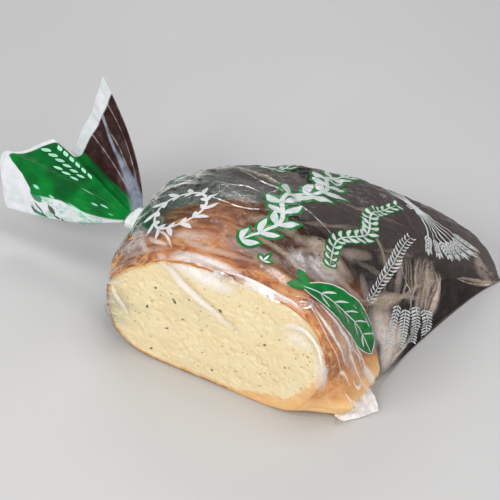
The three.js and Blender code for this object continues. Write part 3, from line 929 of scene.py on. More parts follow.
class Finish:
    """A material and short ways to add its nodes."""

    def __init__(self, name):
        self.material = bpy.data.materials.new(name)
        self.material.use_nodes = True
        self.tree = self.material.node_tree
        self.tree.nodes.clear()
        self.place = self.node("ShaderNodeTexCoord").outputs["Object"]

    def node(self, kind, inputs=None, **facts):
        """One node, with its facts set and its inputs linked or given a value."""
        made = self.tree.nodes.new(kind)
        for name, value in facts.items():
            setattr(made, name, value)
        for name, value in (inputs or {}).items():
            if isinstance(value, bpy.types.NodeSocket):
                self.tree.links.new(value, made.inputs[name])
            else:
                made.inputs[name].default_value = value
        return made

    def noise(self, size, detail=3.0, roughness=0.55, distortion=0.0, stretch=None, place=None):
        """Noise whose lumps are about size millimetres across, in the piece or in a stored place."""
        place = place or self.place
        if stretch:
            place = self.node("ShaderNodeMapping", {"Vector": place, "Scale": stretch}).outputs[0]
        inputs = {"Vector": place, "Scale": 1 / (size * MM), "Detail": detail}
        inputs.update({"Roughness": roughness, "Distortion": distortion})
        return self.node("ShaderNodeTexNoise", inputs).outputs["Fac"]

    def cells(self, size, feature="F1"):
        """Cells about size millimetres across."""
        inputs = {"Vector": self.place, "Scale": 1 / (size * MM)}
        return self.node("ShaderNodeTexVoronoi", inputs, feature=feature).outputs["Distance"]

    def attribute(self, name):
        """A number that the piece keeps for each vertex."""
        return self.node("ShaderNodeAttribute", attribute_name=name).outputs["Fac"]

    def stored_place(self, name):
        """A place that the piece keeps for each vertex."""
        return self.node("ShaderNodeAttribute", attribute_name=name).outputs["Vector"]

    def math(self, operation, first, second=0.0, clamp=False):
        """One operation on two values."""
        made = self.node("ShaderNodeMath", {0: first, 1: second}, operation=operation)
        made.use_clamp = clamp
        return made.outputs[0]

    def levels(self, value, low, high, start=0.0, end=1.0):
        """Value from low to high becomes start to end, smoothly."""
        inputs = {"Value": value, "From Min": low, "From Max": high, "To Min": start, "To Max": end}
        return self.node("ShaderNodeMapRange", inputs, interpolation_type="SMOOTHSTEP").outputs[0]

    def spread(self, noise, low, high):
        """Noise, from its usual lows to its usual highs, becomes low to high."""
        return self.levels(noise, 0.3, 0.7, low, high)

    def times(self, first, second):
        """The product of two values."""
        return self.math("MULTIPLY", first, second)

    def layers(self, colour, *layers):
        """Lays colours one over another, each as a value, its low and high, a cover and a colour."""
        for value, low, high, cover, shade in layers:
            colour = self.mix(self.levels(value, low, high, 0, cover), colour, shade)
        return colour

    def ramp(self, value, stops):
        """A colour for a value, by stops of position and colour."""
        made = self.node("ShaderNodeValToRGB", {"Fac": value})
        elements = made.color_ramp.elements
        while len(elements) < len(stops):
            elements.new(0.5)
        for element, (position, colour) in zip(elements, stops):
            element.position = position
            element.color = colour
        return made.outputs["Color"]

    def mix(self, share, first, second):
        """The first value, turned by a share to the second."""
        made = self.node("ShaderNodeMix", data_type="RGBA")
        for index, value in ((0, share), (6, first), (7, second)):
            if isinstance(value, bpy.types.NodeSocket):
                self.tree.links.new(value, made.inputs[index])
            else:
                made.inputs[index].default_value = value
        return made.outputs[2]

    def bump(self, height, distance, strength=1.0, under=None):
        """A normal that makes height look distance millimetres high."""
        inputs = {"Height": height, "Distance": distance * MM, "Strength": strength}
        if under is not None:
            inputs["Normal"] = under
        return self.node("ShaderNodeBump", inputs).outputs[0]

    def solid(self, colour, roughness, normal=None, **sockets):
        """Ends the material in one plain shader."""
        shader = self.shader(colour, roughness, normal, **sockets)
        self.node("ShaderNodeOutputMaterial", {"Surface": shader})
        return self.material

    def shader(self, colour, roughness, normal=None, **sockets):
        """The main shader, with other sockets by name."""
        inputs = {"Base Color": colour, "Roughness": roughness}
        if normal is not None:
            inputs["Normal"] = normal
        inputs.update({name.replace("_", " "): value for name, value in sockets.items()})
        return self.node("ShaderNodeBsdfPrincipled", inputs).outputs[0]

    def see_through(self, tint, cover, shader):
        """Ends the material in a shader that covers what is behind it by a share."""
        clear = self.node("ShaderNodeBsdfTransparent", {"Color": tint}).outputs[0]
        mixed = self.node("ShaderNodeMixShader", {0: cover, 1: clear, 2: shader}).outputs[0]
        self.node("ShaderNodeOutputMaterial", {"Surface": mixed})
        return self.material


def crumb_finish(settings):
    """Cream crumb, mottled, with fine pores and a browner rim."""
    finish = Finish("crumb")
    grain = finish.noise(2.6, 5, 0.65)
    pores = finish.cells(2.1)
    rim = finish.math("ADD", finish.attribute("rim_distance"), finish.times(finish.noise(7, 3), -4.0))
    baked = finish.math("ADD", finish.attribute("baked"), finish.spread(finish.noise(6, 4), -0.3, 0.3))
    colour = finish.layers(
        opaque(settings.crumb_colour),
        (finish.noise(16, 4, 0.6, 0.4), 0.36, 0.66, 1, linear(241, 226, 184)),
        (grain, 0.56, 0.78, 0.6, linear(216, 190, 142)),
        # Painted shade in the pores: the crumb is darker where each pore sinks in.
        (pores, 0.24, 0.05, 0.42, linear(186, 156, 110)),
        (rim, 3.2, -1.0, 0.8, linear(214, 165, 98)),
        (rim, -0.2, -2.0, 1, linear(160, 92, 44)),
        (baked, 0.3, 0.75, 0.85, linear(234, 184, 118)))
    normal = finish.bump(finish.mix(0.5, grain, pores), 0.6, 0.35)
    return finish.solid(colour, finish.spread(grain, 0.75, 0.95), normal, Subsurface_Weight=0.12,
                        Subsurface_Radius=(0.006, 0.004, 0.0025), Subsurface_Scale=0.4)


def crust_finish(settings):
    """Baked crust from tan to deep brown, blistered, with pale streaks and specks and a paler foot."""
    finish = Finish("crust")
    base = opaque(settings.crust_colour)
    broad = finish.noise(42, 4, 0.55, 0.8)
    streaks = finish.noise(10, 6, 0.66, 1.2, stretch=(0.5, 1.0, 1.0))
    speckle = finish.noise(1.5, 4, 0.7)
    up = finish.node("ShaderNodeSeparateXYZ", {"Vector": finish.place}).outputs["Z"]
    height = finish.math("ADD", up, finish.times(broad, 0.03))
    colour = finish.layers(
        finish.ramp(broad, [(0.37, linear(126, 58, 22)), (0.5, base), (0.66, linear(222, 164, 104))]),
        (streaks, 0.5, 0.64, 0.85, linear(232, 180, 122)),
        (streaks, 0.48, 0.36, 0.9, linear(124, 54, 16)),
        (speckle, 0.58, 0.72, 0.45, linear(240, 198, 142)),
        (height, 0.108, 0.124, 0.3, linear(156, 84, 36)),
        (height, 0.1, 0.05, 0.4, linear(232, 164, 92)),
        (height, 0.05, 0.026, 0.92, linear(252, 208, 142)))
    normal = finish.bump(finish.mix(0.4, finish.noise(4.5, 5, 0.6), speckle), 1.1, 0.8)
    return finish.solid(colour, finish.spread(broad, 0.42, 0.7), normal, Coat_Weight=0.08)


def film_finish(settings):
    """Clear film: almost nothing over the loaf, darkened by painted shade where empty, bright at glancing
    angles.
    """
    finish = Finish("clear_film")
    crinkle = finish.noise(7, 4, 0.6, 1.5)
    fine = finish.cells(4.2, "DISTANCE_TO_EDGE")
    normal = finish.bump(crinkle, 1.3, settings.crinkle)
    normal = finish.bump(fine, 0.35, 0.15 * settings.crinkle, under=normal)
    facing = finish.node("ShaderNodeLayerWeight", {"Blend": 0.5}).outputs["Facing"]
    gloss = finish.times(finish.math("POWER", facing, 7.0), 0.55)
    neck = finish.attribute("neck")
    streaky = finish.noise(9, 4, 0.65, 0.8, stretch=(0.25, 1.0, 1.0))
    empty = finish.attribute("empty")
    milk = finish.levels(streaky, 0.5, 0.72, 0.0, settings.haze)
    milk = finish.times(milk, finish.levels(empty, 0.0, 1.0, 1.0, 0.45))
    cover = finish.math("ADD", finish.math("ADD", gloss, 0.025), milk)
    # Painted highlights by the neck: white streaks that run out from it and a fine net of glints on the
    # gathered film.
    rays = finish.noise(1 / MM, 3, 0.6, 0.4, place=finish.stored_place("flow"))
    net = finish.levels(finish.cells(6, "DISTANCE_TO_EDGE"), 0.12, 0.03, 0, 0.45)
    painted_neck_glints = finish.math("MAXIMUM", net, finish.levels(rays, 0.46, 0.6, 0.02, 0.9))
    cover = finish.math("ADD", cover, finish.times(neck, painted_neck_glints))
    # Painted milky reflections in soft ovals of the film.
    cloudy = finish.attribute("cloudy")
    cover = finish.math("ADD", cover, finish.times(cloudy, finish.levels(streaky, 0.28, 0.6, 0.5, 1.0)))
    band = finish.times(finish.attribute("band"), finish.levels(crinkle, 0.3, 0.5, 0.7, 1.0))
    cover = finish.math("MAXIMUM", cover, finish.times(band, 0.86), clamp=True)
    # By the neck the film's gloss and painted highlights turn mint in patches.
    mint = finish.times(neck, finish.levels(crinkle, 0.4, 0.6))
    colour = finish.mix(mint, linear(246, 243, 240), linear(190, 222, 206))
    colour = finish.mix(band, colour, linear(8, 92, 58))
    # Painted shade: where the film hangs empty, what is seen through it is darkened.
    tint = finish.mix(empty, opaque(settings.tint), opaque(settings.empty_painted_shade))
    tint = finish.mix(finish.times(neck, 0.75), tint, linear(120, 160, 142))
    tint = finish.mix(finish.attribute("pane"), tint, linear(104, 150, 132))
    metal = finish.levels(finish.math("MAXIMUM", neck, cloudy), 0.0, 0.5, 0.55, 0.0)
    shader = finish.shader(colour, finish.spread(crinkle, 0.1, 0.22), normal, Metallic=metal)
    return finish.see_through(tint, cover, shader)


def ink_finish(name, colour, shade, cover):
    """Printed ink, a little uneven, under the film's gloss."""
    finish = Finish(name)
    wear = finish.noise(9, 4, 0.6)
    tone = finish.mix(finish.levels(wear, 0.4, 0.7), opaque(colour), shade)
    normal = finish.bump(finish.noise(5, 3), 0.6, 0.4)
    shader = finish.shader(tone, finish.spread(wear, 0.22, 0.45), normal, Specular_IOR_Level=0.3)
    thin = finish.levels(wear, 0.25, 0.6, cover[0], cover[1])
    return finish.see_through((0.9, 0.9, 0.9, 1.0), thin, shader)


def crease_finish(name, colour, low, high):
    """A painted white highlight along a fold of the film, patchy along its length."""
    finish = Finish(name)
    wear = finish.noise(7, 4, 0.7)
    normal = finish.bump(wear, 0.8, 0.6)
    shader = finish.shader(colour, finish.spread(wear, 0.1, 0.3), normal, Metallic=0.25)
    return finish.see_through(NO_TINT, finish.levels(wear, 0.36, 0.62, low, high), shader)


def sheen_finish(name, colour, shade):
    """Soft light caught by the film, strongest along the middle of each strip."""
    finish = Finish(name)
    wear = finish.noise(7, 4, 0.65, 0.6)
    normal = finish.bump(wear, 0.8, 0.5)
    tone = finish.mix(finish.levels(wear, 0.4, 0.6), colour, shade)
    shader = finish.shader(tone, finish.spread(wear, 0.15, 0.35), normal)
    cover = finish.times(finish.attribute("soft"), finish.levels(wear, 0.34, 0.6, 0.7, 1.0))
    return finish.see_through(NO_TINT, cover, shader)


def tail_finish(settings):
    """The printed tail: green with darker patches that are partly painted shade, white at the rims, pale
    leaves, and clear film above painted dark brown as shade seen through it, with a painted highlight along
    its valley.
    """
    finish = Finish("printed_tail")
    wear = finish.noise(13, 4, 0.6, 0.6)
    streaky = finish.noise(8, 4, 0.6, 1.0, stretch=(0.5, 1.0, 1.0))
    crinkle = finish.noise(9, 4, 0.5, 0.8)
    facts = ("green", "white", "clear", "pale", "dark", "mint", "spot", "glint", "fold_highlight", "hair")
    green_share, white_share, clear_share, pale, dark, mint, spot, glint, fold_highlight, hair = [
        finish.attribute(fact) for fact in facts]
    in_white = finish.levels(white_share, -0.3, 0.3)
    in_clear = finish.levels(clear_share, -0.4, 0.4)
    # Green ink, darker in broad patches: partly the ink's own tone, partly painted shade across the tail.
    green = finish.mix(finish.levels(finish.noise(30, 2, 0.5), 0.35, 0.65), opaque(settings.green_ink),
                       linear(0, 84, 34))
    white = finish.mix(finish.levels(wear, 0.35, 0.7), linear(222, 222, 226), linear(204, 212, 209))
    # Painted shade: the clear film above the print is painted dark brown, as shade seen through it.
    brown = finish.mix(finish.levels(wear, 0.4, 0.65), linear(38, 18, 14), linear(62, 38, 36))
    mint = finish.times(finish.levels(mint, -0.4, 0.6), finish.levels(streaky, 0.45, 0.6, 0, 0.75))
    spot = finish.math("ADD", spot, finish.spread(streaky, -1.6, 1.6))
    hair = finish.times(finish.levels(hair, 0.0, 0.6), finish.levels(wear, 0.35, 0.6, 0.2, 0.9))
    # A painted blue grey highlight along the valley fold of the tail.
    fold_highlight = finish.times(finish.levels(fold_highlight, 0.0, 0.5), finish.levels(wear, 0.3, 0.6, 0.4, 0.9))
    colour = finish.mix(finish.levels(green_share, -0.25, 0.25), white, green)
    colour = finish.mix(mint, colour, linear(112, 190, 150))
    colour = finish.layers(
        colour,
        (spot, -0.3, 0.3, 0.9, linear(16, 122, 80)),
        (glint, -1.6, 1.6, 0.9, linear(172, 236, 212)),
        (pale, -0.2, 0.2, 0.9, linear(178, 234, 204)),
        # Leaves left clear in the print, painted dark as shade seen through them.
        (dark, -0.2, 0.2, 0.9, linear(70, 56, 54)))
    colour = finish.mix(in_clear, colour, brown)
    colour = finish.mix(finish.times(hair, in_clear), colour, linear(150, 140, 142))
    colour = finish.mix(fold_highlight, colour, linear(140, 148, 162))
    colour = finish.mix(in_white, colour, white)
    see = finish.levels(clear_share, -0.4, 0.4, 0.98, 0.95)
    see = finish.math("MAXIMUM", see, finish.levels(white_share, -0.3, 0.3, 0, 0.92))
    normal = finish.bump(crinkle, 1.0, 0.2)
    shader = finish.shader(colour, finish.spread(crinkle, 0.26, 0.44), normal, Specular_IOR_Level=0.1)
    return finish.see_through(linear(150, 130, 126), see, shader)


def clip_finish():
    """White plastic tape with a soft satin surface, a little uneven."""
    finish = Finish("neck_tape")
    wear = finish.noise(3, 4, 0.6)
    colour = finish.mix(finish.levels(wear, 0.4, 0.7), linear(232, 238, 233), linear(206, 216, 209))
    normal = finish.bump(finish.noise(2.0, 4, 0.6, stretch=(0.3, 1.0, 1.0)), 0.4, 0.6)
    return finish.solid(colour, finish.spread(wear, 0.32, 0.5), normal)


def speck_finish():
    """Bits of herb and bran, paler where they are small."""
    finish = Finish("herb")
    tone = finish.noise(4, 2)
    stops = [(0.35, linear(74, 62, 40)), (0.5, linear(106, 90, 58)), (0.65, linear(140, 128, 84))]
    colour = finish.ramp(tone, stops)
    small = finish.levels(finish.attribute("size"), 1.5, 0.7)
    colour = finish.mix(small, colour, linear(170, 148, 104))
    return finish.solid(colour, finish.spread(tone, 0.6, 0.9))


def folded_finish():
    """Film folded double: whitish, partly from the double film and partly as a painted glare, with cloudy
    covered patches.
    """
    finish = Finish("folded_film")
    wear = finish.noise(8, 4, 0.6, 0.8)
    normal = finish.bump(wear, 1.0, 0.6)
    # Near white: partly the double film's own look, partly painted glare.
    shader = finish.shader(linear(252, 248, 245), finish.spread(wear, 0.14, 0.3), normal)
    return finish.see_through((0.9, 0.88, 0.86, 1), finish.levels(wear, 0.3, 0.65, 0.72, 0.98), shader)


def floor_finish(settings):
    """A plain pale floor, a little uneven."""
    finish = Finish("pale_floor")
    tone = finish.noise(300, 2, 0.5)
    colour = finish.mix(finish.spread(tone, 0, 0.3), opaque(settings.floor_colour), linear(188, 187, 185))
    return finish.solid(colour, finish.spread(tone, 0.55, 0.65))


# Settings

class LoafSettings(bpy.types.PropertyGroup):
    """Sizes and colours of the loaf."""
    pore_depth: FloatProperty(name="Pore depth", description="Depth of the deepest pores in the cut face",
                              default=0.00045, min=0, max=0.004, unit="LENGTH")
    crust_relief: FloatProperty(name="Crust relief", description="Height of the crust's blisters",
                                default=0.0008, min=0, max=0.004, unit="LENGTH")
    face_steps: IntProperty(name="Face steps", description="Mesh steps from the face's middle to its rim",
                            default=88, min=20, max=140)
    depth_rows: IntProperty(name="Slices", description="Mesh rows from the cut face to the back",
                            default=88, min=20, max=200)
    crumb_colour: FloatVectorProperty(name="Crumb", description="Main colour of the crumb", subtype="COLOR",
                                      default=linear(237, 219, 172)[:3], min=0, max=1)
    crust_colour: FloatVectorProperty(name="Crust", description="Main colour of the crust", subtype="COLOR",
                                      default=linear(198, 120, 56)[:3], min=0, max=1)


class FilmSettings(bpy.types.PropertyGroup):
    """Folds and clearness of the bag's film."""
    crumple: FloatProperty(name="Crumple", description="Strength of all folds in the film",
                           default=1.0, min=0, max=3)
    gap: FloatProperty(name="Gap", description="Least room between the film and the loaf",
                       default=0.0009, min=0.0002, max=0.004, unit="LENGTH")
    crinkle: FloatProperty(name="Crinkle", description="Strength of the finest wrinkles",
                           default=0.35, min=0, max=2)
    haze: FloatProperty(name="Haze", description="Milkiness of the film's cloudy streaks",
                        default=0.11, min=0, max=1)
    tint: FloatVectorProperty(name="Tint", description="Colour seen through film on the loaf",
                              subtype="COLOR", default=(0.96, 0.95, 0.94), min=0, max=1)
    # Painted shade: the dark colour seen through the film where it hangs empty.
    empty_painted_shade: FloatVectorProperty(name="Empty tint", description="Colour seen through empty film",
                                    subtype="COLOR", default=(0.29, 0.248, 0.236), min=0, max=1)


class PrintSettings(bpy.types.PropertyGroup):
    """Inks of the bag's print."""
    green_ink: FloatVectorProperty(name="Green ink", description="Colour of the green print", subtype="COLOR",
                                   default=linear(0, 122, 44)[:3], min=0, max=1)
    white_ink: FloatVectorProperty(name="White ink", description="Colour of the white print", subtype="COLOR",
                                   default=linear(226, 226, 226)[:3], min=0, max=1)
    outline: FloatProperty(name="Outline", description="Green seen round the white leaves",
                           default=0.002, min=0, max=0.005, unit="LENGTH")
    lift: FloatProperty(name="Lift", description="Height of the ink above the film", default=0.0003,
                        min=0.0001, max=0.001, unit="LENGTH")


class StageSettings(bpy.types.PropertyGroup):
    """Floor, light and camera."""
    floor_colour: FloatVectorProperty(name="Floor", description="Colour of the floor", subtype="COLOR",
                                      default=linear(196, 195, 193)[:3], min=0, max=1)
    light: FloatProperty(name="Light", description="Strength of the studio lights",
                         default=0.93, min=0, max=5)
    lens: FloatProperty(name="Lens", description="Focal length of the camera in millimetres",
                        default=119.24, min=20, max=300)
    distance: FloatProperty(name="Distance", description="Camera distance from the loaf",
                            default=1.3, min=0.3, max=5, unit="LENGTH")


# Operators

# Bits of herb in the cut face, as X, Z and size, and how many there are with the small ones.
SPECKS = [(6, 102, 2.6), (-54, 72, 2.0), (-37, 66, 3.4), (-23, 73, 1.8), (-63, 50, 2.4), (5, 74, 2.8),
          (-45, 36, 1.8), (-61, 9, 2.0), (18, 21, 2.0), (-4, 12, 1.8), (-30, 51, 1.6), (44, 58, 1.8),
          (62, 44, 1.6)]
SPECK_COUNT = 140
SPECK_SIDES = 8


class BREADBAG_OT_loaf(bpy.types.Operator):
    """Makes the cut loaf, with its crumb face and crust"""
    bl_idname = "breadbag.loaf"
    bl_label = "Loaf"

    def execute(self, context):
        settings = context.scene.bread_bag_loaf
        points, faces, finishes, distance = loaf_mesh(settings)
        finish = [crumb_finish(settings), crust_finish(settings)]
        loaf = piece_of("loaf", points, faces, finish, finishes)
        store(loaf, "rim_distance", distance)
        edge = np.interp(points[:, 0], *BAKED_EDGE)
        store(loaf, "baked", smooth_step(-7, 5, edge + LOAF_LIFT - points[:, 2]))
        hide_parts("bag")
        return {"FINISHED"}


class BREADBAG_OT_specks(bpy.types.Operator):
    """Makes the bits of herb and bran in the cut face"""
    bl_idname = "breadbag.specks"
    bl_label = "Specks in the crumb"

    def execute(self, context):
        random = np.random.default_rng(41)
        bits = list(SPECKS)
        while len(bits) < SPECK_COUNT:
            x, z = 95 - 190 * random.uniform(0, 1) ** 1.5, random.uniform(6, 106)
            if (x / 92) ** 2 + ((z - 54) / 48) ** 2 < 1:
                bits.append((x, z, random.uniform(0.5, 1.15)))
        points, faces = [], []
        for x, z, size in bits:
            turns = np.linspace(0, 2 * np.pi, SPECK_SIDES + 1)[:-1]
            lean, long = random.uniform(0, np.pi), random.uniform(1.0, 1.8)
            radius = size / 1.75 * random.uniform(0.75, 1.2, SPECK_SIDES)
            across = np.stack([np.cos(turns) * radius * long, np.sin(turns) * radius / long * 1.1], 1)
            turned = across @ np.array([[np.cos(lean), np.sin(lean)], [-np.sin(lean), np.cos(lean)]])
            start = len(points)
            points += [(x + p[0], 0.25, z + LOAF_LIFT + p[1]) for p in turned]
            points.append((x, -0.35, z + LOAF_LIFT))
            tip = start + SPECK_SIDES
            faces += [(start + k, start + (k + 1) % SPECK_SIDES, tip) for k in range(SPECK_SIDES)]
        specks = piece_of("herb_specks", np.array(points), faces, [speck_finish()])
        store(specks, "size", np.repeat([size for _, _, size in bits], SPECK_SIDES + 1))
        return {"FINISHED"}


def empty_share(film):
    """How much painted shade darkens the empty film: nought on the loaf, one where it is slack, less by the
    seam's foot.
    """
    behind = smooth_step(6, 34, film.points[..., 1])
    tan_side = (1 - film.patch(SEAM_FOOT_OVAL)) * (1 - 0.7 * film.patch(SEAM_OVAL))
    back = smooth_step(7.4, 8.6, film.v) * smooth_step(11, 10.3, film.v)
    empty = smooth_step(5, 34, film.clear) * tan_side * behind
    # Painted shade at the back of the loaf.
    empty = np.maximum(empty, 0.9 * film.patch(BACK_SHADE_OVAL))
    return empty * (1 - 0.2 * back)[None]


def neck_share(film):
    """Where the film is gathered towards the neck, further out along its top."""
    place = film.u[:, None] + 0.4 * np.sin(film.v * 2.6)[None] + 0.25 * np.sin(film.v * 9.1)[None]
    topside = smooth_step(4.6, 6.2, film.v)[None]
    far_end = 7.5 + 0.6 * topside
    return smooth_step(far_end, far_end - 2.7, place) * (0.55 + 0.45 * topside)


def flow_places(film):
    """Places drawn out along the film, whose noise makes the painted highlight streaks that run from the
    neck.
    """
    turn = film.v[None] * np.pi / 6 + 0 * film.a
    return np.stack([13 * np.cos(turn), 13 * np.sin(turn), film.u[:, None] / 0.8 + 0 * film.a], -1)


def band_share(film):
    """Where the green lines of the print lie."""
    band = np.zeros(film.a.shape)
    for line, width in GREEN_LINES:
        far, _ = line_distance(film.a, film.b, even_line(line, 24))
        band = np.maximum(band, smooth_step(width, 0.55 * width, far))
    return band


class BREADBAG_OT_film(bpy.types.Operator):
    """Makes the crumpled clear film of the bag"""
    bl_idname = "breadbag.film"
    bl_label = "Bag film"

    def execute(self, context):
        film = the_film()
        rows, columns = film.points.shape[:2]
        faces = grid_faces(rows, columns, closed=True)[:, ::-1]
        bag = piece_of("bag_film", film.points.reshape(-1, 3), faces,
                       [film_finish(context.scene.bread_bag_film)])
        store(bag, "empty", empty_share(film))
        store(bag, "neck", neck_share(film))
        store_places(bag, "flow", flow_places(film))
        store(bag, "pane", PANE_COVER * film.patch(PANE_OVAL))
        store(bag, "band", band_share(film))
        # Painted milky reflections in ovals of the film.
        cloudy = [strength * film.patch(spot) for *spot, strength in MILKY_REFLECTIONS]
        store(bag, "cloudy", np.max(cloudy, axis=0))
        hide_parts("bag")
        return {"FINISHED"}


class BREADBAG_OT_print(bpy.types.Operator):
    """Makes the white and green print that lies on the film"""
    bl_idname = "breadbag.print"
    bl_label = "Print"

    def execute(self, context):
        settings = context.scene.bread_bag_print
        film = the_film()
        white, green, sprig, edge = Strips(), Strips(), Strips(), Strips()
        for *facts, share in GARLANDS:
            garland(white, *facts)
            grow = share * (settings.outline / MM)
            if grow:
                garland(green, *facts, grow)
        wreath(white, *WREATH)
        sheaf(white, *SHEAF)
        ears(white, *EARS)
        edge.add(BIG_LEAF, BIG_LEAF_WIDTH, leaf_profile, 1.3, BIG_LEAF_EDGE)
        green.add(BIG_LEAF, BIG_LEAF_WIDTH, leaf_profile, 1.3)
        white.add(BIG_LEAF, 1.2, stroke_profile)
        for k in range(BIG_LEAF_VEINS):
            start = spline(BIG_LEAF, [0.8 + 0.6 * k])[0]
            for heading, bend in zip(VEIN_HEADINGS, (0.8, -0.8)):
                white.leaf(start, heading, VEIN_LENGTH, 1.8, bend)
        for heading in STALK_HEADINGS:
            sprig.leaf(LEAF_STALK, heading, 17, 8)
        for heading, length in SPRIG_LEAVES:
            sprig.leaf(SPRIG_PLACE, heading, length, 5)
            white.leaf(SPRIG_PLACE, heading, 0.7 * length, 2)
        lift = settings.lift / MM
        green_ink = ink_finish("green_ink", settings.green_ink, linear(0, 92, 44), (0.86, 0.98))
        white_ink = ink_finish("white_ink", settings.white_ink, linear(190, 202, 196), (0.7, 0.92))
        edge.piece("print_edge", film, 0.5 * lift, white_ink)
        green.piece("green_print", film, lift, green_ink)
        sprig.piece("green_sprig", film, 1.3 * lift, green_ink)
        white.piece("white_print", film, 1.9 * lift, white_ink)
        return {"FINISHED"}


# How many fine painted highlights run from the neck as white streaks, and the strips' heights above the film.
STREAKS = 72
CREASE_LIFT = 0.22
GLINT_LIFT = 0.16
SHEEN_LIFT = 0.12


class BREADBAG_OT_creases(bpy.types.Operator):
    """Makes the painted white highlights along the sharp creases and the soft sheen along the film's folds"""
    bl_idname = "breadbag.creases"
    bl_label = "Creases"

    def execute(self, context):
        film = the_film()
        crease_highlights, white, tan = Strips(), Strips(), Strips()
        for line, _, _, highlight_width, sheen in FOLDS:
            # A painted white highlight along the fold's crease.
            if highlight_width:
                crease_highlights.add(line, highlight_width, crease_profile, 1.2)
            if sheen:
                tan.sheen(line, sheen, 0.4)
        for strips, sheens in ((white, WHITE_SHEENS), (tan, TAN_SHEENS)):
            for line, width, strength in sheens:
                strips.sheen(line, width, strength)
        random = np.random.default_rng(71)
        # Painted tan reflections on the facets of the slack film.
        for line, spread, count, strength in FACETS:
            for k in range(count):
                shift = spread * ((k + 0.5) / count - 0.5) + random.uniform(-1, 1)
                ends = random.uniform(-4, 4, (len(line), 2)) * 0.5
                turned = np.asarray(line, float) + ends + [0.7 * shift, 0.7 * shift]
                tan.sheen(turned, random.uniform(2.0, 5.5), strength * random.uniform(0.35, 1.1))
        # Painted highlights of the pleats: fine white streaks that run out from the neck.
        for k in range(STREAKS):
            v = 1.6 + 8.8 * ((k * 0.382) % 1)
            start = random.uniform(3.25, 6.2)
            reach = random.uniform(0.6, 1.6) * (1.3 if start < 4.5 else 0.8)
            line = film.trail(start, start + reach, v, random.uniform(-0.25, 0.25))
            white.sheen(line, random.uniform(0.9, 3.4), random.uniform(0.25, 0.85))
        # White that paints the highlights along the creases.
        painted_crease_highlight = crease_finish("painted_crease_highlight", linear(250, 247, 244), 0.15, 0.8)
        glints = sheen_finish("film_glints", linear(255, 252, 246), linear(250, 240, 228))
        sheen = sheen_finish("film_sheen", linear(214, 196, 166), linear(220, 196, 188))
        crease_highlights.piece("film_creases", film, CREASE_LIFT, painted_crease_highlight)
        white.piece("film_glints", film, GLINT_LIFT, glints)
        tan.piece("film_sheen", film, SHEEN_LIFT, sheen)
        return {"FINISHED"}


# Leaves of the tail's print: place out and across in millimetres, lean, half length, half width.
EAR_LEAVES = [(72 + 10.4 * k + 4.6 * (way < 0), 4.2 * way + 0.5 * k, 17 * way, 5.4, 1.9)
              for k in range(6) for way in (-1, 1)]
EAR_LEAVES += [(78 + 11 * k, -12.5 + 0.7 * k, -8 - 4 * (k % 2), 5.4, 1.8) for k in range(3)]
# The dark leaves are left clear in the print and painted dark, as shade seen through them.
DARK_LEAVES = [(120, -1, 45, 6.5, 2.3), (121, -10, 42, 7.5, 2.1), (111, -7, 60, 8, 2.3),
               (103, -4, 56, 7.5, 1.2), (89, -3, 65, 7, 2.9), (84, -14, 60, 6.5, 1.9),
               (77, -20, 66, 7, 1.7), (98, -14, 58, 6.5, 1.2)]
MINT_PATCHES = [(122, 7, 20, 6, 2.8), (127, -6, 80, 6, 2.8), (104, 7, 30, 7, 4.4), (103, -12, 50, 7, 2.8)]
TAIL_GLINTS = [(104, 20, 20, 3.2, 1.8), (88, 14, 30, 3, 1.6), (32, 37, 10, 5, 3), (42, 30, 0, 4, 2),
               (22, 18, 30, 3.4, 1.4), (60, 7, 32, 11, 1.5), (54, 54, 0, 6, 0.8)]

# The shares of the way round the fan from which they are measured across, for the ear and the rest.
EAR_RAY = 0.51
LOW_RAY = 0.165

# Lines out along the tail, as places out from the neck and shares of the way round the fan: a
# valley, the upper edge of the print and the lower fold. Then the hairs, each at one share.
TAIL_VALLEY = ([0, 0.2, 0.4, 0.65, 1], [0.9, 0.86, 0.845, 0.845, 0.9])
TAIL_EDGE = ([0, 0.13, 0.3, 0.5, 0.73, 0.9, 1], [0.8, 0.787, 0.735, 0.712, 0.712, 0.712, 0.69])
TAIL_FOLD = ([0, 0.06, 0.36, 0.56, 0.75, 0.9, 1], [0.12, 0.145, 0.182, 0.222, 0.205, 0.19, 0.14])
TAIL_HAIRS = (0.79, 0.875, 0.925, 0.99)

# Where the white rim starts, as shares of the way round and places out.
TAIL_WHITE = ([0, 0.14, 0.2, 0.23, 0.29, 0.33, 0.36, 0.45, 0.6, 0.7, 1],
              [0.7, 0.8, 0.79, 0.79, 0.85, 0.93, 0.965, 0.975, 0.955, 0.9, 0.9])

# Rough lengths of the tail: from neck to mouth, round it at the neck, how much wider its mouth is,
# and the length round it that its wrinkles go by. Then its mesh steps round and out.
TAIL_LONG = 140
TAIL_NECK = 10
TAIL_WIDE = 230
TAIL_ROUND = 260
TAIL_STEPS = (300, 150)


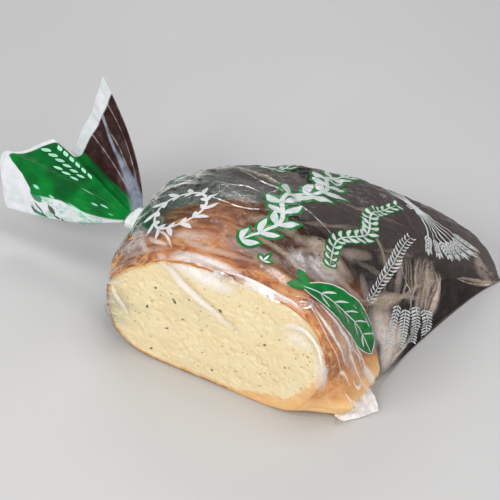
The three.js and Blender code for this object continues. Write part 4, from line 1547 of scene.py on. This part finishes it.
def tail_grid(rays, reaches):
    """The middle surface of the tail's fan."""
    place = np.linspace(0, len(TAIL_RIMS) - 1, rays)
    rim, sag = spline(TAIL_RIMS, place), spline(TAIL_MIDDLES, place)
    ray = np.linspace(0, 1, rays)[:, None, None]
    reach = np.linspace(0, 1, reaches)[None, :, None]
    side = np.linspace(0, 1, rays)
    start = [-6 + 5 * side ** 3, (side * 2 - 1) * (NECK_HALF[0] - 2.5 + 2 * side), 0 * side]
    start = np.stack(start, 1)[:, None]
    rim, sag = rim[:, None], sag[:, None]
    bend = (2 * sag - (start + rim) / 2) * 2 * reach * (1 - reach)
    grid = start * (1 - reach) ** 2 + bend + rim * reach ** 2
    fold = 2.6 * np.sin(ray * 2 * np.pi * 5.5) * np.sin(np.minimum(1, reach * 1.3) * np.pi / 2)
    shift = (reach * (1 - 0.4 * reach) * fold)[..., 0]
    grid = NECK_CENTRE + grid
    edge = smooth_step(0.8, 1, ray[..., 0]) * np.sin(np.pi * reach[..., 0] ** 0.8)
    grid[..., 0] -= 5 * edge
    grid[..., 1] -= 0.55 * shift
    grid[..., 2] += 0.8 * shift
    return ray[..., 0] * np.ones(reaches), reach[..., 0] * np.ones((rays, 1)), grid


def printed_leaves(ray, reach, level, spots):
    """Signed size of leaf shapes in the tail's print: above nought inside a leaf."""
    best = np.full(ray.shape, -9.0)
    x, y = reach * TAIL_LONG, (ray - level) * TAIL_WIDE
    for u, v, lean, half, wide in spots:
        along, across = along_and_across(x - u, y - v, lean)
        best = np.maximum(best, wide * (1 - (along / half) ** 2) - np.abs(across))
    return best


def tail_facts(ray, reach, far):
    """Signed sizes of the fields and shapes of the tail's print, above nought inside each."""
    width = TAIL_NECK + TAIL_WIDE * reach
    fold = np.interp(reach, *TAIL_FOLD)
    white = (reach - np.interp(ray, *TAIL_WHITE)) * 35
    hairs = [1 - np.abs(ray - line) * width / 0.8 for line in TAIL_HAIRS]
    return {
        "clear": (ray - np.interp(reach, *TAIL_EDGE)) * width / 4,
        # A painted highlight along the valley of the tail.
        "fold_highlight": 1 - np.abs(far) / (2.0 + 5.5 * smooth_step(0.75, 0.2, reach)),
        "white": white,
        "hair": np.max(hairs, axis=0) * smooth_step(0.2, 0.4, reach),
        "green": np.minimum((ray - fold) * width / 3, -white),
        "pale": printed_leaves(ray, reach, EAR_RAY, EAR_LEAVES),
        "dark": printed_leaves(ray, reach, LOW_RAY, DARK_LEAVES),
        "mint": (fold - ray) * width / 3,
        "spot": printed_leaves(ray, reach, LOW_RAY, MINT_PATCHES),
        "glint": printed_leaves(ray, reach, LOW_RAY, TAIL_GLINTS),
    }


class BREADBAG_OT_tail(bpy.types.Operator):
    """Makes the printed tail that fans out beyond the clip"""
    bl_idname = "breadbag.tail"
    bl_label = "Tail"

    def execute(self, context):
        ray, reach, grid = tail_grid(*TAIL_STEPS)
        normal = grid_normals(grid, closed=False)
        flat = np.stack([ray * TAIL_ROUND, reach * TAIL_LONG, 0 * ray], -1)
        lean = np.stack([ray * TAIL_ROUND, reach * 40, 0 * ray], -1)
        wrinkle = 0.9 * ridges(lean, 30, 51) + 0.22 * ridges(lean, 12, 52) + 0.1 * ridges(flat, 9, 53)
        far = (ray - np.interp(reach, *TAIL_VALLEY)) * (TAIL_NECK + TAIL_WIDE * reach)
        wrinkle = wrinkle + 3.2 * np.exp(-(far / 6) ** 2) * smooth_step(0.02, 0.3, reach)
        grid = grid + normal * (wrinkle * smooth_step(0.02, 0.25, reach))[..., None]
        tail = piece_of("bag_tail", grid.reshape(-1, 3), grid_faces(*TAIL_STEPS),
                        [tail_finish(context.scene.bread_bag_print)])
        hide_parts("bag")
        for name, values in tail_facts(ray, reach, far).items():
            store(tail, name, values)
        return {"FINISHED"}


# The folded corner: three lines of points that run back along it, its upper edge first.
CORNER = [[(97, 15, 3), (101.7, 33.5, 15), (109.4, 48, 12)],
          [(102, 15, 1.5), (108, 28, 8), (115, 46, 7)],
          [(105.8, 15.5, 0.6), (114, 26, 0.8), (122, 40, 0.6)]]
CORNER_STEPS = 26
CORNER_THICK = 0.9


class BREADBAG_OT_corner(bpy.types.Operator):
    """Makes the folded corner of film at the foot of the face"""
    bl_idname = "breadbag.corner"
    bl_label = "Folded corner"

    def execute(self, context):
        across = np.swapaxes(np.array(CORNER, float), 0, 1)
        grid = np.stack([even_line(line, CORNER_STEPS) for line in across], 1)
        grid = np.stack([even_line(line, CORNER_STEPS) for line in grid])
        normal = grid_normals(grid, closed=False)
        if normal[..., 2].mean() < 0:
            normal = -normal
        grid = grid + normal * (0.5 * ridges(grid, 9, 61) + 0.3 * ridges(grid, 4, 62))[..., None]
        grid[..., 2] = np.maximum(grid[..., 2], 0.5)
        lower = grid - normal * CORNER_THICK
        lower[..., 2] = np.maximum(lower[..., 2], 0.25)
        points = np.concatenate([grid.reshape(-1, 3), lower.reshape(-1, 3)])
        faces = grid_faces(CORNER_STEPS, CORNER_STEPS)
        faces = np.concatenate([faces, faces[:, ::-1] + CORNER_STEPS ** 2])
        piece_of("corner_fold", points, faces, [folded_finish()])
        return {"FINISHED"}


class BREADBAG_OT_clip(bpy.types.Operator):
    """Finishes the tape clip that holds the neck"""
    bl_idname = "breadbag.clip"
    bl_label = "Neck clip"

    def execute(self, context):
        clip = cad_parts["neck_clip"]
        clip.data.materials.clear()
        clip.data.materials.append(clip_finish())
        return {"FINISHED"}


# Lamps: a name, the step from what they light in metres, size in metres and power in watts.
LAMPS = [
    ("key", (-0.4, -1.3, 1.0), (0.9, 0.6), 18.2),
    ("sheen", (-0.75, 1.1, 0.95), (1.0, 0.28), 6),
    ("top", (0.3, 0.2, 1.5), (0.8, 0.8), 8),
    ("fill", (1.2, -0.7, 0.6), (0.5, 1.0), 10),
]
LAMP_AIM = (-10, 70, 50)
SKY = (0.9, 0.92, 1.0, 1)
SKY_STRENGTH = 0.35
FLOOR_HALF = 4
FLOOR_DROP = 0.0002

# The camera looks at a point from a direction in degrees round from the front and up.
CAMERA_AIM = (0, 60, 45)
CAMERA_AROUND = 32
CAMERA_ABOVE = 38
CAMERA_SHIFT = (-0.014, 0.098)
SENSOR_WIDTH = 36


class BREADBAG_OT_stage(bpy.types.Operator):
    """Makes the pale floor, the soft lights and the camera"""
    bl_idname = "breadbag.stage"
    bl_label = "Stage"

    def execute(self, context):
        settings = context.scene.bread_bag_stage
        mesh = bpy.data.meshes.new("floor")
        corners = [(x * FLOOR_HALF, y * FLOOR_HALF, 0) for x, y in ((-1, -1), (1, -1), (1, 1), (-1, 1))]
        mesh.from_pydata(corners, [], [(0, 1, 2, 3)])
        mesh.materials.append(floor_finish(settings))
        floor = bpy.data.objects.new("floor", mesh)
        floor.location.z = -FLOOR_DROP
        context.scene.collection.objects.link(floor)
        world = bpy.data.worlds.new("studio")
        world.use_nodes = True
        background = world.node_tree.nodes["Background"]
        background.inputs["Color"].default_value = SKY
        background.inputs["Strength"].default_value = SKY_STRENGTH * settings.light
        context.scene.world = world
        context.scene.view_settings.view_transform = "Standard"
        for name, step, size, power in LAMPS:
            self.lamp(context, name, step, size, power * settings.light)
        self.camera(context, settings)
        return {"FINISHED"}

    def lamp(self, context, name, step, size, energy):
        """One soft box that shines at the loaf."""
        light = bpy.data.lights.new(name, "AREA")
        light.shape = "RECTANGLE"
        light.size, light.size_y = size
        light.energy = energy
        lamp = bpy.data.objects.new(name, light)
        lamp.location = Vector(placed(LAMP_AIM)) + Vector(step)
        lamp.rotation_euler = (-Vector(step)).to_track_quat("-Z", "Y").to_euler()
        context.scene.collection.objects.link(lamp)

    def camera(self, context, settings):
        """The camera, from the side the loaf is seen from."""
        around, above = math.radians(CAMERA_AROUND), math.radians(CAMERA_ABOVE)
        level = math.cos(above)
        back = Vector((math.sin(around) * level, -math.cos(around) * level, math.sin(above)))
        data = bpy.data.cameras.new("camera")
        data.sensor_width = SENSOR_WIDTH
        data.lens = settings.lens
        data.shift_x, data.shift_y = CAMERA_SHIFT
        data.clip_start = 0.05
        camera = bpy.data.objects.new("camera", data)
        camera.location = Vector(placed(CAMERA_AIM)) + back * settings.distance
        camera.rotation_euler = (-back).to_track_quat("-Z", "Y").to_euler()
        context.scene.collection.objects.link(camera)
        context.scene.camera = camera


class BREADBAG_PT_panel(bpy.types.Panel):
    """Steps that make the loaf in its bag"""
    bl_idname = "BREADBAG_PT_panel"
    bl_label = "Loaf in bread bag"
    bl_space_type = "VIEW_3D"
    bl_region_type = "UI"
    bl_category = "Bread bag"

    def draw(self, context):
        scene = context.scene
        for group in [getattr(scene, name) for name in SETTINGS]:
            box = self.layout.box()
            for name in group.__annotations__:
                box.prop(group, name)
        for step in STEPS:
            self.layout.operator(step.bl_idname)


SETTINGS = {
    "bread_bag_loaf": LoafSettings,
    "bread_bag_film": FilmSettings,
    "bread_bag_print": PrintSettings,
    "bread_bag_stage": StageSettings,
}
STEPS = (BREADBAG_OT_loaf, BREADBAG_OT_specks, BREADBAG_OT_film, BREADBAG_OT_print, BREADBAG_OT_creases,
         BREADBAG_OT_tail, BREADBAG_OT_corner, BREADBAG_OT_clip, BREADBAG_OT_stage)


def register():
    for item in (*SETTINGS.values(), *STEPS, BREADBAG_PT_panel):
        bpy.utils.register_class(item)
    for name, group in SETTINGS.items():
        setattr(bpy.types.Scene, name, PointerProperty(type=group))


def unregister():
    for name in SETTINGS:
        delattr(bpy.types.Scene, name)
    for item in (BREADBAG_PT_panel, *reversed(STEPS), *reversed(SETTINGS.values())):
        bpy.utils.unregister_class(item)


def main():
    """Makes every piece in order."""
    register()
    bpy.ops.breadbag.loaf()
    bpy.ops.breadbag.specks()
    bpy.ops.breadbag.film()
    bpy.ops.breadbag.print()
    bpy.ops.breadbag.creases()
    bpy.ops.breadbag.tail()
    bpy.ops.breadbag.corner()
    bpy.ops.breadbag.clip()
    bpy.ops.breadbag.stage()


if __name__ == "__main__":
    main()
